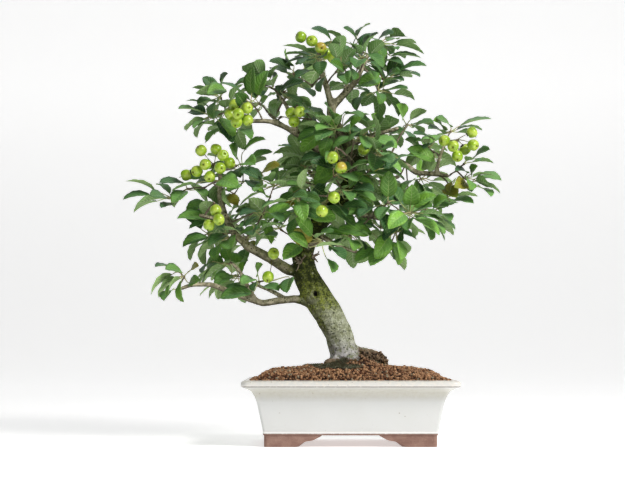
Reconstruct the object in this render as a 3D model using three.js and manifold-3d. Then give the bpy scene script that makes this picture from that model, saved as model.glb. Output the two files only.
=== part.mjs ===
// An apple bonsai: a slanting, S-curved crab apple with green fruit in a cream-glazed rectangular pot.
// Millimetres, +Z up. Azimuth 0, the photograph's side, looks along +Y with +X to the right.
// The tree is worked out about the middle of the pot's base, and the group then shifts everything so that
// the origin lies on the table under the middle of the whole outline.
import * as THREE from "three";
import { mergeVertices } from "three/addons/utils/BufferGeometryUtils.js";
import Module from "manifold-3d";

const wasm = await Module();
wasm.setup();

// The pot's driving dimensions.
const POT_LENGTH = 365;
const POT_DEPTH = 270;
const POT_HEIGHT = 111;
const FOOT_HEIGHT = 19.5;
const RIM_BAND = 12;
const WALL = 10;
const FLOOR_THICKNESS = 9;
const BASE_INSET = 35.5;
const CORNER_RADIUS = 13;
const CORNER_STEPS = 3;
const FOOT_REACH_FRONT = 96;
const FOOT_REACH_SIDE = 66;
const FOOT_FLAT_SHARE = 0.54;
const FOOT_THICKNESS = 15;
const FOOT_INSET = 2.5;
const DRAIN_RADIUS = 12;
const DRAIN_OFFSET = 74;

// The drainage mesh: a square of plastic netting over each hole.
const MESH_SIDE = 46;
const MESH_THICKNESS = 1.6;
const MESH_HOLES = 2;
const MESH_BAR = 5;

// The soil: a mound of fired-clay granules, drawn as relief. Each ring of its top is [inset from the
// rim, points].
const SOIL_BELOW_RIM = 4;
const SOIL_MOUND = 33;
const SOIL_EDGE = 22;
const SOIL_EDGE_POWER = 0.6;
const SOIL_CROWN_SHARE = 0.45;
const SOIL_CROWN_SPREAD = 70;
const GRAIN_RELIEF = 2.4;
const SOIL_RINGS = [[20.5, 44], [35, 40], [51, 35], [68, 30], [86, 24], [106, 16]];

// Gaps between pieces that rest on or in each other.
const CLEARANCE = 0.3;

// Leaves. A blade's shape is set by its corners at two steps along each edge and one on the midrib.
const LEAF_LENGTH = 49;
const LEAF_SLENDERNESS = 0.61;
const BLADE_THICKNESS = 0.8;
const BASE_ROUNDNESS = 0.62;
const TIP_ROUNDNESS = 0.78;
const WIDEST_AT = BASE_ROUNDNESS / (BASE_ROUNDNESS + TIP_ROUNDNESS);
const BLADE_STEPS = [0.27, 0.66];
const RIB_STEP = 0.48;
const BLADE_GAP = 0.5;
const LEAF_TRIES = 24;
const FIRST_FILL = 100;
const SHAPE_DRAW = 999;
const PETIOLE_RADIUS = 0.85;
const SHORTEST_PETIOLE = 8;
const LEAST_FACING = 0.5;
const MOST_BACKWARD = 0.2;
const MOST_SLIP = 60;
const SLIP_STEP = 8;
const MOST_LEAN = 1.6;
const LEAN_STEP = 0.2;
const MOST_HIDDEN = 1.9;
const MOST_TOWARD_VIEWER = 30;
const LEAF_WIDTHS = [17, 34];
const FILL_SPREAD = [35 * Math.PI / 180, 100 * Math.PI / 180];
const FILL_PETIOLE = [11, 24];
const FILL_LENGTH_SHARE = [0.72, 1.08];
const FILL_WIDTH_SHARE = [0.54, 0.66];
const FILL_DROOP = [-0.3, 0.1];
const FILL_OUTWARD = 0.45;
const FILL_TO_LIGHT = 0.12;
const ARCH = [0.05, 0.12];
const FOLD = [0.16, 0.42];
const WAVE_HEIGHT = 1.4;

// Wood, stems and the spur knobs that leaves and fruit grow from.
const LIMB_STEP = 34;
const STEM_RADIUS = 2.1;
const STEM_BOW = 0.06;
const START_SPACING = 7;
const KNOB_RADIUS = 2.7;

// Apples. The profile's rings are [radius, height] as shares of the fruit's radius, from the calyx up.
const FRUIT_RADIUS = 10;
const FRUIT_SPACING = 2 * FRUIT_RADIUS + 0.8;
const APPLE_SIDES = 7;
const APPLE_PROFILE = [[0, -0.7], [0.62, -0.84], [1, 0.02], [0.66, 0.8]];
const STALK_RADIUS = 0.9;
const STALK_DEPTH = 0.66;

// Where the photograph was taken from, so that a place read in it can be given a depth and turned into
// millimetres.
const PHOTO_CENTRE = [312.5, 238.5];
const PHOTO_FOCAL = 1515;
const PHOTO_PITCH = (3.83 * Math.PI) / 180;
const PHOTO_EYE = [-63.5, -2635, 178];

// A place in the tree: across and down in the photograph's pixels, and depth in millimetres behind the
// middle of the pot.
function place([across, down, depth]) {
  const u = (across - PHOTO_CENTRE[0]) / PHOTO_FOCAL;
  const v = (PHOTO_CENTRE[1] - down) / PHOTO_FOCAL;
  const reach = (depth - PHOTO_EYE[1]) / (Math.cos(PHOTO_PITCH) - v * Math.sin(PHOTO_PITCH));
  const rise = Math.sin(PHOTO_PITCH) + v * Math.cos(PHOTO_PITCH);
  return new THREE.Vector3(PHOTO_EYE[0] + u * reach, depth, PHOTO_EYE[2] + rise * reach);
}

// The wood. Each limb: name, sides, then points of [across, down, depth, radius in mm].
const LIMBS = [
  ["trunk", 10, [
    [351, 384, 8, 26], [349, 370, 8, 33], [346, 360, 7, 29], [343.5, 350, 5, 24.5], [340, 337, 2, 23.5],
    [331, 318, 0, 25], [319, 300, -2, 26], [308, 281, -4, 23], [302.5, 263, -5, 19.5], [304, 247, -3, 17],
    [313, 230, 4, 16], [328, 213, 10, 15.5], [343, 196, 14, 15], [353, 178, 12, 14], [355, 160, 6, 12.5],
    [348, 143, 0, 10.5], [337, 127, -4, 8.8], [331, 113, -5, 8.2], [332, 104, -5, 7.4]]],
  ["root_right", 6, [[349, 354, 4, 20], [362, 355, 6, 15], [374, 357, 6, 12], [387, 366, 4, 8]]],
  ["root_front_left", 6, [[344, 360, 0, 19], [330, 366, -16, 11], [319, 372, -28, 6]]],
  ["root_front", 6, [[347, 360, -4, 21], [353, 364, -24, 14], [362, 371, -38, 8]]],
  ["root_back", 6, [[347, 358, 12, 19], [351, 362, 36, 12], [356, 370, 54, 6]]],
  ["root_back_left", 6, [[344, 358, 8, 17], [331, 364, 26, 11], [320, 372, 40, 6]]],
  ["apex_left", 5, [[332, 108, -5, 6.5], [328, 90, -8, 6], [322.5, 76, -8, 5.2], [319, 64, -6, 4.6],
    [320, 54, -6, 3.4]]],
  ["apex_right", 5, [[332, 107, -5, 7], [341, 97, -3, 6.8], [352, 87, 0, 6], [359, 76, 2, 5], [364, 64, 3, 3.8],
    [368, 54, 2, 3]]],
  ["apex_back", 4, [[341, 98, -2, 4.5], [346, 88, 42, 4], [348, 76, 78, 3.2]]],
  ["upleft", 5, [[353, 167, 8, 8.5], [337, 158, 4, 7.8], [316, 149, 0, 7], [299, 135, -4, 6], [285, 127, -6, 5.2],
    [270, 121, -6, 4.6], [255, 121, -4, 3.8], [242, 121, -2, 3]]],
  ["upleft_riser", 4, [[299, 136, -4, 5], [291, 119, 3, 4.6], [287, 106, 8, 4], [279, 95, 10, 3]]],
  ["upleft_back", 4, [[287, 128, -4, 4.6], [277, 121, 51, 3.6], [268, 113, 81, 2.8]]],
  ["left", 6, [[304, 272, -6, 12], [291, 271, -13, 10.5], [276, 262, -18, 9.2], [262, 253.5, -20, 8.6],
    [247, 246, -20, 7.6], [235, 235, -18, 6.6], [227, 221, -16, 6], [221, 204, -14, 5.4], [219, 190, -12, 4.8],
    [221, 177, -10, 4], [219, 170, -12, 3]]],
  ["left_stub", 4, [[227, 222, -16, 5.2], [215, 219, -24, 5], [205, 217, -28, 4.4], [199, 215, -40, 3.8]]],
  ["left_back", 4, [[238, 238, -16, 5.4], [232, 230, 33, 4.4], [226, 219, 69, 3.2]]],
  ["low_left", 5, [[314, 304, -2, 11], [298, 299, -8, 7.4], [283, 299.5, -12, 6.8], [268, 304, -16, 6.6],
    [254, 301, -20, 6.2], [240, 295, -24, 5.6], [224, 290, -26, 5], [207, 283, -28, 4.6], [190, 285, -40, 3.8],
    [180, 289, -40, 3]]],
  ["low_left_riser", 4, [[256, 301, -20, 4.8], [248, 287, -23, 4.2], [240, 271, -24, 3.8],
    [232, 263, -26, 2.8]]],
  ["low_left_back", 4, [[285, 299, -10, 5], [272, 291, 36, 4], [256, 285, 66, 3]]],
  ["low_right", 4, [[314, 232, 2, 6], [330, 242, -6, 4.6], [345, 248, -11, 3.8], [356, 252.5, -14, 3.2],
    [366, 253, -16, 2.6]]],
  ["right_low", 5, [[328, 212, 8, 8], [343, 208, 0, 6.6], [357, 213, -9, 5.6], [368, 216, -13, 5],
    [383, 219, -17, 4.2], [394, 222, -20, 3.4]]],
  ["right_front", 4, [[369, 216, -13, 4.2], [376, 212, -46, 3.6], [384, 208, -70, 2.8]]],
  ["right", 6, [[354, 166, 8, 9], [368, 158, 10, 7.2], [381, 156, 12, 6.2], [394, 158, 10, 5.6], [405, 164, 6, 5.2],
    [413, 171.5, 2, 5], [423, 174.5, -2, 4.8], [437, 173.5, -4, 4.2], [449, 176, -6, 3]]],
  ["right_riser", 4, [[436, 174, -4, 3.8], [438, 163, -8, 3.6], [441, 152, -10, 3.2], [446, 142, -11, 2.6]]],
  ["right_upper", 5, [[349, 146, 0, 6], [361, 139, -12, 5.2], [374, 135, -22, 4.4], [388, 131, -39, 3.6],
    [399, 128, -42, 2.8]]],
  ["right_back", 5, [[352, 181, 12, 7], [368, 184, 69, 5.6], [386, 181, 111, 4.6], [400, 176, 132, 3.4]]],
  ["front_mid", 4, [[354, 170, 4, 6.5], [352, 162, -40, 5], [346, 155, -81, 3.6]]],
  ["front_left", 5, [[326, 214, 8, 7], [314, 206, -24, 5.2], [302, 200, -68, 3.6]]],
  ["front_right", 4, [[353, 176, 6, 6], [358, 168, -46, 4.6], [364, 161, -76, 3.2]]],
  ["front_low", 4, [[305, 250, -8, 6], [312, 244, -43, 4.6], [319, 241, -68, 3.2]]],
  ["back_left", 5, [[336, 204, 14, 6.6], [322, 186, 75, 5], [308, 170, 117, 3.4]]],
  ["back_mid", 5, [[352, 182, 14, 6.6], [346, 172, 93, 5], [342, 165, 147, 3.4]]],
];

// The leafy sprays. Each: name, its stems as places, the leaves read in the photograph as
// [base across, base down, tip across, tip down, width seen], all in pixels, and how many more leaves fill it.
const SPRAYS = [
  ["crown_left", [[[322, 47, -21]], [[317, 56, -33]]],
    [[331, 40, 311, 29, 9], [313, 64, 296, 65, 4], [313, 71, 296, 78, 9], [325, 77, 321, 92, 9]], 3],
  ["crown_far_left", [[[312, 86, 43], [299, 78, 33], [294, 74, 19]]],
    [[291, 69, 269, 61.5, 11], [303, 88, 313, 97, 9]], 2],
  ["crown_top", [[[357, 52, 16], [353, 46, 14]]],
    [[358, 42, 343, 28, 7], [351, 48, 333, 44, 8], [362, 48, 372, 38, 9]], 2],
  ["crown_top_right", [[[376, 50, 40], [386, 53, 44]], [[378, 44, 42]]],
    [[378, 42, 394, 33.5, 8], [390, 37, 406, 37, 3], [387, 47, 398, 50, 6], [389, 55, 421, 58, 6],
      [384, 61, 401, 64, 7]], 2],
  ["crown_right", [[[372, 78, 37], [383, 79, 41]], [[378, 91, 21]]],
    [[386, 78, 401, 73, 10], [399, 72, 427, 66, 8], [400, 76, 420, 77, 4], [380, 77, 358, 86, 12],
      [386, 91, 408, 89, 6], [386, 83, 404, 81, 5], [366, 96, 357, 111, 9]], 2],
  ["crown_mid", [[[364, 62, -19], [362, 58, -42]]],
    [[366, 54, 383, 68, 9], [356, 57, 340, 50, 9], [366, 68, 374, 80, 9]], 2],
  ["crown_front", [[[336, 72, -39], [340, 66, -63]]],
    [[344, 71, 330, 63, 9], [338, 72, 346, 85, 10], [348, 66, 353, 80, 9]], 2],
  ["crown_back", [[[342, 66, 108], [330, 58, 126]], [[360, 62, 126]], [[352, 86, 138]]], [], 11],
  ["upleft_top", [[[286, 97, 58], [284, 92, 60]]],
    [[281, 90, 304, 82, 9], [284, 94, 301, 104, 9], [279, 99, 275, 86, 10]], 2],
  ["upleft_high", [[[272, 88, 29], [265, 85, 27]]],
    [[273, 82, 277, 73, 7], [262, 82, 234, 87, 6], [266, 89, 250, 94, 9]], 2],
  ["upleft_tip", [[[226, 112, 17], [221, 98, 15]], [[214, 117, 11]], [[233, 126, 13]]],
    [[222, 88, 228, 73.5, 6], [225, 89, 207, 94, 9], [218, 101, 197, 104, 8], [201, 112, 178, 109, 6],
      [213, 125, 198, 126, 4], [226, 112, 213, 119, 8], [224, 128, 206.5, 142, 8],
      [236, 129, 251, 140, 10]], 2],
  ["upleft_front", [[[258, 111, -26], [250, 103, -46]]],
    [[243, 103, 236, 93, 9], [266, 94, 248, 99, 8], [262, 107, 268, 97, 8]], 2],
  ["upleft_inner", [[[281, 117, 44]]],
    [[276, 117, 277, 104, 9], [280, 131, 275, 118, 7], [272, 106, 287, 111, 7]], 1],
  ["upleft_back", [[[260, 104, 114]]], [], 6],
  ["centre_top_left", [[[312, 120, 37], [305, 112, 33]]],
    [[304, 107, 321, 119, 12], [318, 132, 312, 119, 9], [300, 94, 312, 87, 8]], 2],
  ["centre_top", [[[342, 133, -20], [335, 129, -42]]],
    [[334, 127, 334, 113, 13], [334, 136, 318, 141, 9], [346, 114, 363, 118, 7]], 2],
  ["rightup_inner", [[[354, 141, -53]]], [[367, 131, 350, 141, 9], [350, 131, 362, 119, 9]], 2],
  ["rightup_mid", [[[384, 135, 19]]],
    [[386, 131, 385, 115, 13], [375, 126, 371, 114, 9], [386, 138, 404, 130, 8], [374, 126, 352, 119, 10]], 2],
  ["rightup_far", [[[407, 125, 38]]],
    [[403, 118, 396, 104.5, 13], [399, 120, 423, 113.5, 9], [413, 128, 434, 123, 6]], 2],
  ["rightup_tip", [[[450, 132, -5]]],
    [[446, 131, 433, 121, 8], [451, 127, 437, 118.5, 8], [444, 134, 428, 129, 6], [460, 126, 492, 119, 5]], 1],
  ["right_mid", [[[434, 152, 43], [428, 148, 41]]],
    [[435, 160, 407, 149, 12], [434, 140, 413, 134, 5], [428, 143, 414, 142, 4], [433, 143, 424, 149, 7]], 2],
  ["right_hang", [[[421, 179, 34]]], [[422, 181, 428, 195, 8], [414, 180, 404, 190, 7]], 2],
  ["right_tip", [[[456, 171, -12], [464, 164, -18]], [[464, 178, -10], [471, 183, -10]]],
    [[474, 158, 490, 149.5, 7], [466, 161, 480, 161, 6], [462, 160, 447, 163, 6], [475, 178.5, 502, 180.5, 7],
      [471, 174, 478, 166, 8], [478, 187, 491, 197, 8], [461, 187, 472, 192, 7], [466, 175, 455, 171, 6]], 0],
  ["right_under", [[[450, 186, -9], [447, 197, -13]]],
    [[455, 180, 450, 192, 11], [446, 189, 457, 198, 9], [450, 202, 474, 203.6, 8]], 1],
  ["right_front", [[[388, 202, -86]], [[402, 213, -84], [411, 213, -81], [425, 209, -73]]],
    [[388, 199, 389, 170.5, 18], [388, 207, 379, 220, 12], [410.6, 205, 412, 184, 19], [414, 206, 437, 196, 11],
      [433, 209, 448, 198, 10], [410, 217, 408, 231, 13], [414, 212, 433, 207, 9]], 2],
  ["right_low_tip", [[[408, 219, 3], [422, 219, 3], [434, 213, 1]]],
    [[437, 214, 450, 222, 9], [426, 225, 430, 240, 10], [437, 208, 448, 207, 6]], 2],
  ["low_right", [[[396, 232, -22], [391, 244, -20]], [[382, 248, -18]]],
    [[400, 224, 384, 241, 11], [402, 230, 403, 241, 7], [391, 247, 393, 259, 7], [378, 249, 355, 262, 12],
      [385, 250, 370, 266, 13], [372, 233, 337, 230, 15]], 1],
  ["low_front", [[[322, 241, -74]]],
    [[316, 247, 345, 246, 12], [316, 238, 334, 232, 9], [312, 235, 295, 218, 14], [308, 247, 288, 235, 12],
      [326, 258, 332, 273, 9], [300, 246, 283, 260, 9]], 1],
  ["centre_front_left", [[[296, 198, -75]]],
    [[314, 190, 285, 179, 14], [302, 205, 320, 212, 9], [290, 200, 308, 198, 10], [290, 206, 302, 218, 9]], 2],
  ["centre_front", [[[334, 176, -71], [342, 190, -82]]],
    [[328, 192, 338, 178, 8], [349, 186, 364, 174, 13], [345, 199, 370, 193, 11], [342, 206, 368, 208, 11],
      [334, 204, 346, 216, 9], [334, 168, 350, 170, 9]], 2],
  ["centre_left", [[[318, 172, 48], [306, 167, 12]]], [[312, 160, 293, 170, 9], [308, 174, 290, 176, 9]], 3],
  ["centre_right", [[[368, 158, -89], [378, 154, -97]]],
    [[370, 158, 373, 171, 11], [398, 159, 388, 169, 12], [380, 151, 394, 146, 9]], 2],
  ["centre_back", [[[338, 162, 174]], [[312, 158, 156], [300, 152, 144]]], [], 10],
  ["right_back", [[[406, 165, 144], [418, 150, 156]], [[408, 190, 159]]], [], 11],
  ["left_shoot", [[[254, 231, -43], [263, 214, -49], [270, 197, -49], [274, 186, -43]]],
    [[262, 172, 280, 166, 9], [275, 182, 279, 168, 12], [268, 197, 253, 190, 9], [286, 186, 268, 184, 5],
      [264, 219, 292, 206, 12], [258, 212, 240, 216, 9], [253, 225, 241, 227, 6], [262, 236, 277, 236, 6]], 1],
  ["left_up_right", [[[234, 194, 27], [243, 182, 31], [243, 170, 33]]],
    [[237, 157, 229, 145, 10], [244, 151, 266, 139.5, 7], [246, 166, 273, 152, 9], [241, 167, 262, 179, 7],
      [238, 183, 228, 192, 10], [246, 181, 257, 191, 11]], 1],
  ["left_fruit_side", [[[204, 188, 0], [188, 189, 2], [172, 198, 6]]],
    [[185, 184, 159, 182.5, 8], [185, 191, 173, 203, 9], [195, 190, 206, 197, 9], [151, 196, 122.5, 200, 8],
      [166, 197, 150, 196, 7], [174, 204, 161, 208, 9]], 2],
  ["left_mid", [[[212, 209, 30]]],
    [[209, 204, 186, 211, 12], [223, 204, 240, 201, 11], [222, 198, 238, 206, 9]], 1],
  ["left_low_mid", [[[229, 238, -6]]],
    [[208, 237, 182.5, 247, 12], [225, 235, 209, 246, 12], [219, 245, 217, 260, 14], [232, 241, 228, 250, 8],
      [226, 230, 241, 232, 8]], 1],
  ["left_back_spray", [[[218, 210, 121]], [[238, 226, 127], [246, 240, 136]]], [], 10],
  ["low_left_tip", [[[178, 290, -26]], [[184, 277, -32], [180, 272, -35]]],
    [[181, 272, 165, 269.5, 7], [175, 268, 155, 267, 4], [173, 290, 164, 301, 10], [203, 254, 186, 267, 10],
      [190, 271, 199, 266, 7], [189, 283, 200, 280, 10]], 0],
  ["low_left_mid", [[[229, 264, 16]]],
    [[231, 275, 215, 286, 14], [211, 262, 202.5, 273, 5], [238, 265, 248, 261, 4]], 2],
  ["low_left_inner", [[[259, 282, -44], [270, 281, -52]]],
    [[254, 279, 241, 284, 11], [257, 282, 254, 291, 7], [258, 275, 263, 264, 7], [265, 276, 278, 271, 8],
      [262, 287, 279, 291, 10], [290, 278, 287, 293, 12], [252, 293, 220, 298.5, 14]], 0],
  ["low_left_back_spray", [[[246, 280, 97], [238, 276, 106]]], [], 6],
];

// The fruit. Each bunch: name, where its stalks meet, and the middle of each apple.
const BUNCHES = [
  ["fruit_crown", [316, 45, -26], [[301, 37, -40], [312, 41, -49], [320.5, 48, -54], [326.5, 53, -43],
    [333, 58, -54]]],
  ["fruit_upleft", [241, 109, -40], [[234.5, 104, -46], [247, 108, -59], [230, 114, -51], [238.5, 114.5, -65],
    [236.5, 122.5, -54], [247.5, 120, -49]]],
  ["fruit_upleft_inner", [297, 106, -19], [[291, 112, -36], [300, 112, -42], [294, 121.5, -36]]],
  ["fruit_left", [214, 165, -13], [[201, 150.5, -30], [216, 149.5, -27], [223, 155.5, -46], [205.5, 164.5, -41],
    [197, 171, -33], [186, 175, -15], [220, 168, -44], [229.5, 163, -27], [210, 176.5, -38]]],
  ["fruit_left_low", [214, 203, -56], [[215.5, 210, -66], [219, 219.5, -69], [209, 225, -64]]],
  ["fruit_right", [457, 140, -20], [[444.5, 140.5, -43], [453, 146.5, -46], [457.5, 156, -43], [472, 132.5, -24],
    [473, 145, -40], [465, 149.5, -14]]],
  ["fruit_centre", [336, 148, -119], [[332.5, 157.5, -135], [341, 167.5, -127]]],
  ["fruit_centre_low", [328, 196, -125], [[334, 197.5, -141], [322, 211, -133]]],
  ["fruit_centre_right", [370, 142, -56], [[364, 149, -64]]],
  ["fruit_low_left_inner", [271, 259, -40], [[273.5, 253.5, -54], [268, 277, -68]]],
];

// Whole-number hash and a small generator, so that every draw depends on its seed alone.
function draws(seed) {
  let state = seed | 0;
  return () => {
    state = (state + 0x6d2b79f5) | 0;
    let t = Math.imul(state ^ (state >>> 15), 1 | state);
    t = (t + Math.imul(t ^ (t >>> 7), 61 | t)) ^ t;
    return ((t ^ (t >>> 14)) >>> 0) / 4294967296;
  };
}

function seedOf(spray, leaf, attempt) {
  return spray * 100003 + leaf * 1009 + attempt * 17 + 5;
}

// A closed three.js geometry as a solid that can be joined and cut.
function solidOf(geometry) {
  const bare = new THREE.BufferGeometry();
  bare.setAttribute("position", geometry.getAttribute("position"));
  if (geometry.index) bare.setIndex(geometry.index);
  const merged = mergeVertices(bare, 1e-4);
  const raw = new wasm.Mesh({
    numProp: 3,
    vertProperties: merged.attributes.position.array,
    triVerts: new Uint32Array(merged.index.array),
  });
  return new wasm.Manifold(raw);
}

function geometryOf(solid) {
  const raw = solid.getMesh();
  const geometry = new THREE.BufferGeometry();
  geometry.setAttribute("position", new THREE.BufferAttribute(new Float32Array(raw.vertProperties), 3));
  geometry.setIndex(new THREE.BufferAttribute(new Uint32Array(raw.triVerts), 1));
  geometry.computeVertexNormals();
  return geometry;
}

function joined(solids) {
  return wasm.Manifold.union(solids);
}

// Points and the triangles between them, as a bare geometry.
function mesh(points, index) {
  const geometry = new THREE.BufferGeometry().setFromPoints(points);
  geometry.setIndex(index);
  return geometry;
}

// A body under construction: its points, and the triangles between them.
function newBody() {
  return { points: [], index: [] };
}

function addRing(body, ring) {
  const first = body.points.length;
  body.points.push(...ring);
  return ring.map((_, i) => first + i);
}

// Two rings joined by a band of triangles, also where one has more points than the other or is one point.
// Every ring runs anticlockwise as seen from the far end of the tube.
function bridge(body, near, far) {
  const nearCount = near.length > 1 ? near.length : 0;
  const farCount = far.length > 1 ? far.length : 0;
  let i = 0;
  let k = 0;
  while (i < nearCount || k < farCount) {
    if (k >= farCount || (i < nearCount && (i + 1) / nearCount <= (k + 1) / farCount)) {
      body.index.push(near[i], near[(i + 1) % nearCount], far[k % far.length]);
      i++;
    } else {
      body.index.push(near[i % near.length], far[(k + 1) % farCount], far[k]);
      k++;
    }
  }
}

function bridgeAll(body, rings) {
  rings.forEach((ring, i) => i && bridge(body, rings[i - 1], ring));
}

function capStart(body, ring) {
  for (let i = 1; i + 1 < ring.length; i++) body.index.push(ring[0], ring[i + 1], ring[i]);
}

function capEnd(body, ring) {
  for (let i = 1; i + 1 < ring.length; i++) body.index.push(ring[0], ring[i], ring[i + 1]);
}

// The same ring, turned to start at the point that lies best against another ring of as many points.
function turned(body, ring, against) {
  const cost = (shift) => ring.reduce((sum, _, i) =>
    sum + body.points[ring[(i + shift) % ring.length]].distanceTo(body.points[against[i]]), 0);
  const best = ring.map((_, i) => i).reduce((a, b) => (cost(b) < cost(a) ? b : a));
  return ring.map((_, i) => ring[(i + best) % ring.length]);
}

// Rings skinned into one closed body with a cap at each end.
function skin(rings) {
  const body = newBody();
  const laid = rings.map((ring) => addRing(body, ring));
  bridgeAll(body, laid);
  capStart(body, laid[0]);
  capEnd(body, laid[laid.length - 1]);
  return mesh(body.points, body.index);
}

// A tapering limb along a smooth curve: the section turns as little as it can from ring to ring.
function limbRings(points, radii, sides) {
  const tangents = points.map((p, i) =>
    points[Math.min(i + 1, points.length - 1)].clone().sub(points[Math.max(i - 1, 0)]).normalize());
  const start = Math.abs(tangents[0].y) < 0.9 ? new THREE.Vector3(0, 1, 0) : new THREE.Vector3(1, 0, 0);
  let side = start.addScaledVector(tangents[0], -start.dot(tangents[0])).normalize();
  return points.map((p, i) => {
    side = side.clone().addScaledVector(tangents[i], -side.dot(tangents[i])).normalize();
    const other = new THREE.Vector3().crossVectors(tangents[i], side);
    const ring = [];
    for (let k = 0; k < sides; k++) {
      const angle = (2 * Math.PI * k) / sides;
      ring.push(p.clone()
        .addScaledVector(side, radii[i] * Math.cos(angle))
        .addScaledVector(other, radii[i] * Math.sin(angle)));
    }
    return ring;
  });
}

function limbSolid(points, radii, sides) {
  return solidOf(skin(limbRings(points, radii, sides)));
}

// The rounded-rectangle ring of the pot and the soil, at a height, pulled in from the rim by an inset.
function potRing(inset, height) {
  const halfLength = POT_LENGTH / 2 - inset;
  const halfDepth = POT_DEPTH / 2 - inset;
  const radius = Math.max(CORNER_RADIUS - inset * 0.25, 5);
  const ring = [];
  [[1, 1, 0], [-1, 1, 1], [-1, -1, 2], [1, -1, 3]].forEach(([sx, sy, quarter]) => {
    for (let k = 0; k <= CORNER_STEPS; k++) {
      const angle = (Math.PI / 2) * (quarter + k / CORNER_STEPS);
      ring.push(new THREE.Vector3(
        sx * (halfLength - radius) + radius * Math.cos(angle),
        sy * (halfDepth - radius) + radius * Math.sin(angle),
        height));
    }
  });
  return ring;
}

// The pot's inner wall, as [inset from the rim, height], from the floor up to just under the lip.
const INSIDE_PROFILE = [[BASE_INSET + WALL, FOOT_HEIGHT + FLOOR_THICKNESS], [30, 80], [21, POT_HEIGHT - 9]];

// One bracket foot's outline, from the pot's corner inwards: flat on the table, then an ogee up to the body.
// Each point of the ogee is [share of the way from the flat's end to the tip, share of the foot's height].
const FOOT_OGEE = [[0, 0], [0.28, 0.42], [0.68, 0.56], [1, 0.94]];

function footGeometry(direction, reach) {
  const flat = reach * FOOT_FLAT_SHARE;
  const top = FOOT_HEIGHT + 1;
  const shape = new THREE.Shape();
  shape.moveTo(0, 0);
  FOOT_OGEE.forEach(([along, up]) =>
    shape.lineTo(direction * (flat + (reach - flat) * along), FOOT_HEIGHT * up));
  shape.lineTo(direction * reach, top);
  shape.lineTo(0, top);
  shape.closePath();
  const foot = new THREE.ExtrudeGeometry(shape, { depth: FOOT_THICKNESS, bevelEnabled: false });
  return foot.rotateX(Math.PI / 2);
}

// The pot is one fired piece: body, rolled rim, feet and floor, with two drainage holes.
function makePot() {
  const rimFoot = POT_HEIGHT - RIM_BAND;
  const outside = [
    [BASE_INSET + 1.2, FOOT_HEIGHT], [BASE_INSET, FOOT_HEIGHT + 2.5], [BASE_INSET, FOOT_HEIGHT + 8.5],
    [26.5, 72], [22.5, 84], [17, 93], [8, rimFoot - 1.5], [2, rimFoot + 0.5],
    [0, POT_HEIGHT - 5], [1.6, POT_HEIGHT - 1.6], [5, POT_HEIGHT]];
  const inside = [[17, POT_HEIGHT], ...[...INSIDE_PROFILE].reverse()];
  const parts = [solidOf(skin([...outside, ...inside].map(([inset, height]) => potRing(inset, height))))];
  const halfLength = POT_LENGTH / 2 - BASE_INSET - FOOT_INSET;
  const halfDepth = POT_DEPTH / 2 - BASE_INSET - FOOT_INSET;
  [-1, 1].forEach((sx) => [-1, 1].forEach((sy) => {
    const along = footGeometry(-sx, FOOT_REACH_FRONT);
    along.translate(sx * halfLength, sy * halfDepth + (sy > 0 ? 0 : FOOT_THICKNESS), 0);
    const across = footGeometry(-sy, FOOT_REACH_SIDE).rotateZ(Math.PI / 2);
    across.translate(sx * halfLength - (sx > 0 ? FOOT_THICKNESS : 0), sy * halfDepth, 0);
    parts.push(solidOf(along), solidOf(across));
  }));
  const holes = [-1, 1].map((side) => {
    const bore = new THREE.CylinderGeometry(DRAIN_RADIUS, DRAIN_RADIUS, 3 * FLOOR_THICKNESS, 16);
    bore.rotateX(Math.PI / 2);
    bore.translate(side * DRAIN_OFFSET, 0, FOOT_HEIGHT + FLOOR_THICKNESS / 2);
    return solidOf(bore);
  });
  return joined(parts).subtract(joined(holes));
}

// A square of netting: bars that cross, with square holes between them.
function makeDrainMesh(side) {
  const floorTop = FOOT_HEIGHT + FLOOR_THICKNESS + CLEARANCE;
  const pitch = (MESH_SIDE - MESH_BAR) / MESH_HOLES;
  const bars = [];
  for (let i = 0; i <= MESH_HOLES; i++) {
    const offset = (i - MESH_HOLES / 2) * pitch;
    const along = new THREE.BoxGeometry(MESH_SIDE, MESH_BAR, MESH_THICKNESS);
    along.translate(side * DRAIN_OFFSET, offset, floorTop + MESH_THICKNESS / 2);
    const across = new THREE.BoxGeometry(MESH_BAR, MESH_SIDE, MESH_THICKNESS);
    across.translate(side * DRAIN_OFFSET + offset, 0, floorTop + MESH_THICKNESS / 2);
    bars.push(solidOf(along), solidOf(across));
  }
  return joined(bars);
}

// The soil's mound: highest at the trunk's foot, falling to just under the rim.
function soilHeight(x, y) {
  const across = 2 * x / (POT_LENGTH - 2 * SOIL_EDGE);
  const back = 2 * y / (POT_DEPTH - 2 * SOIL_EDGE);
  const fall = Math.max(0, 1 - across * across) * Math.max(0, 1 - back * back);
  const crown = Math.exp(-(x * x + y * y) / (2 * SOIL_CROWN_SPREAD ** 2));
  const shape = (1 - SOIL_CROWN_SHARE) * Math.pow(fall, SOIL_EDGE_POWER) + SOIL_CROWN_SHARE * crown * Math.sqrt(fall);
  return POT_HEIGHT - SOIL_BELOW_RIM + SOIL_MOUND * shape;
}

// Points at even steps round a closed ring.
function evenly(ring, count) {
  const path = new THREE.CurvePath();
  ring.forEach((p, i) => path.add(new THREE.LineCurve3(p, ring[(i + 1) % ring.length])));
  return Array.from({ length: count }, (_, i) => path.getPointAt(i / count));
}

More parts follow.
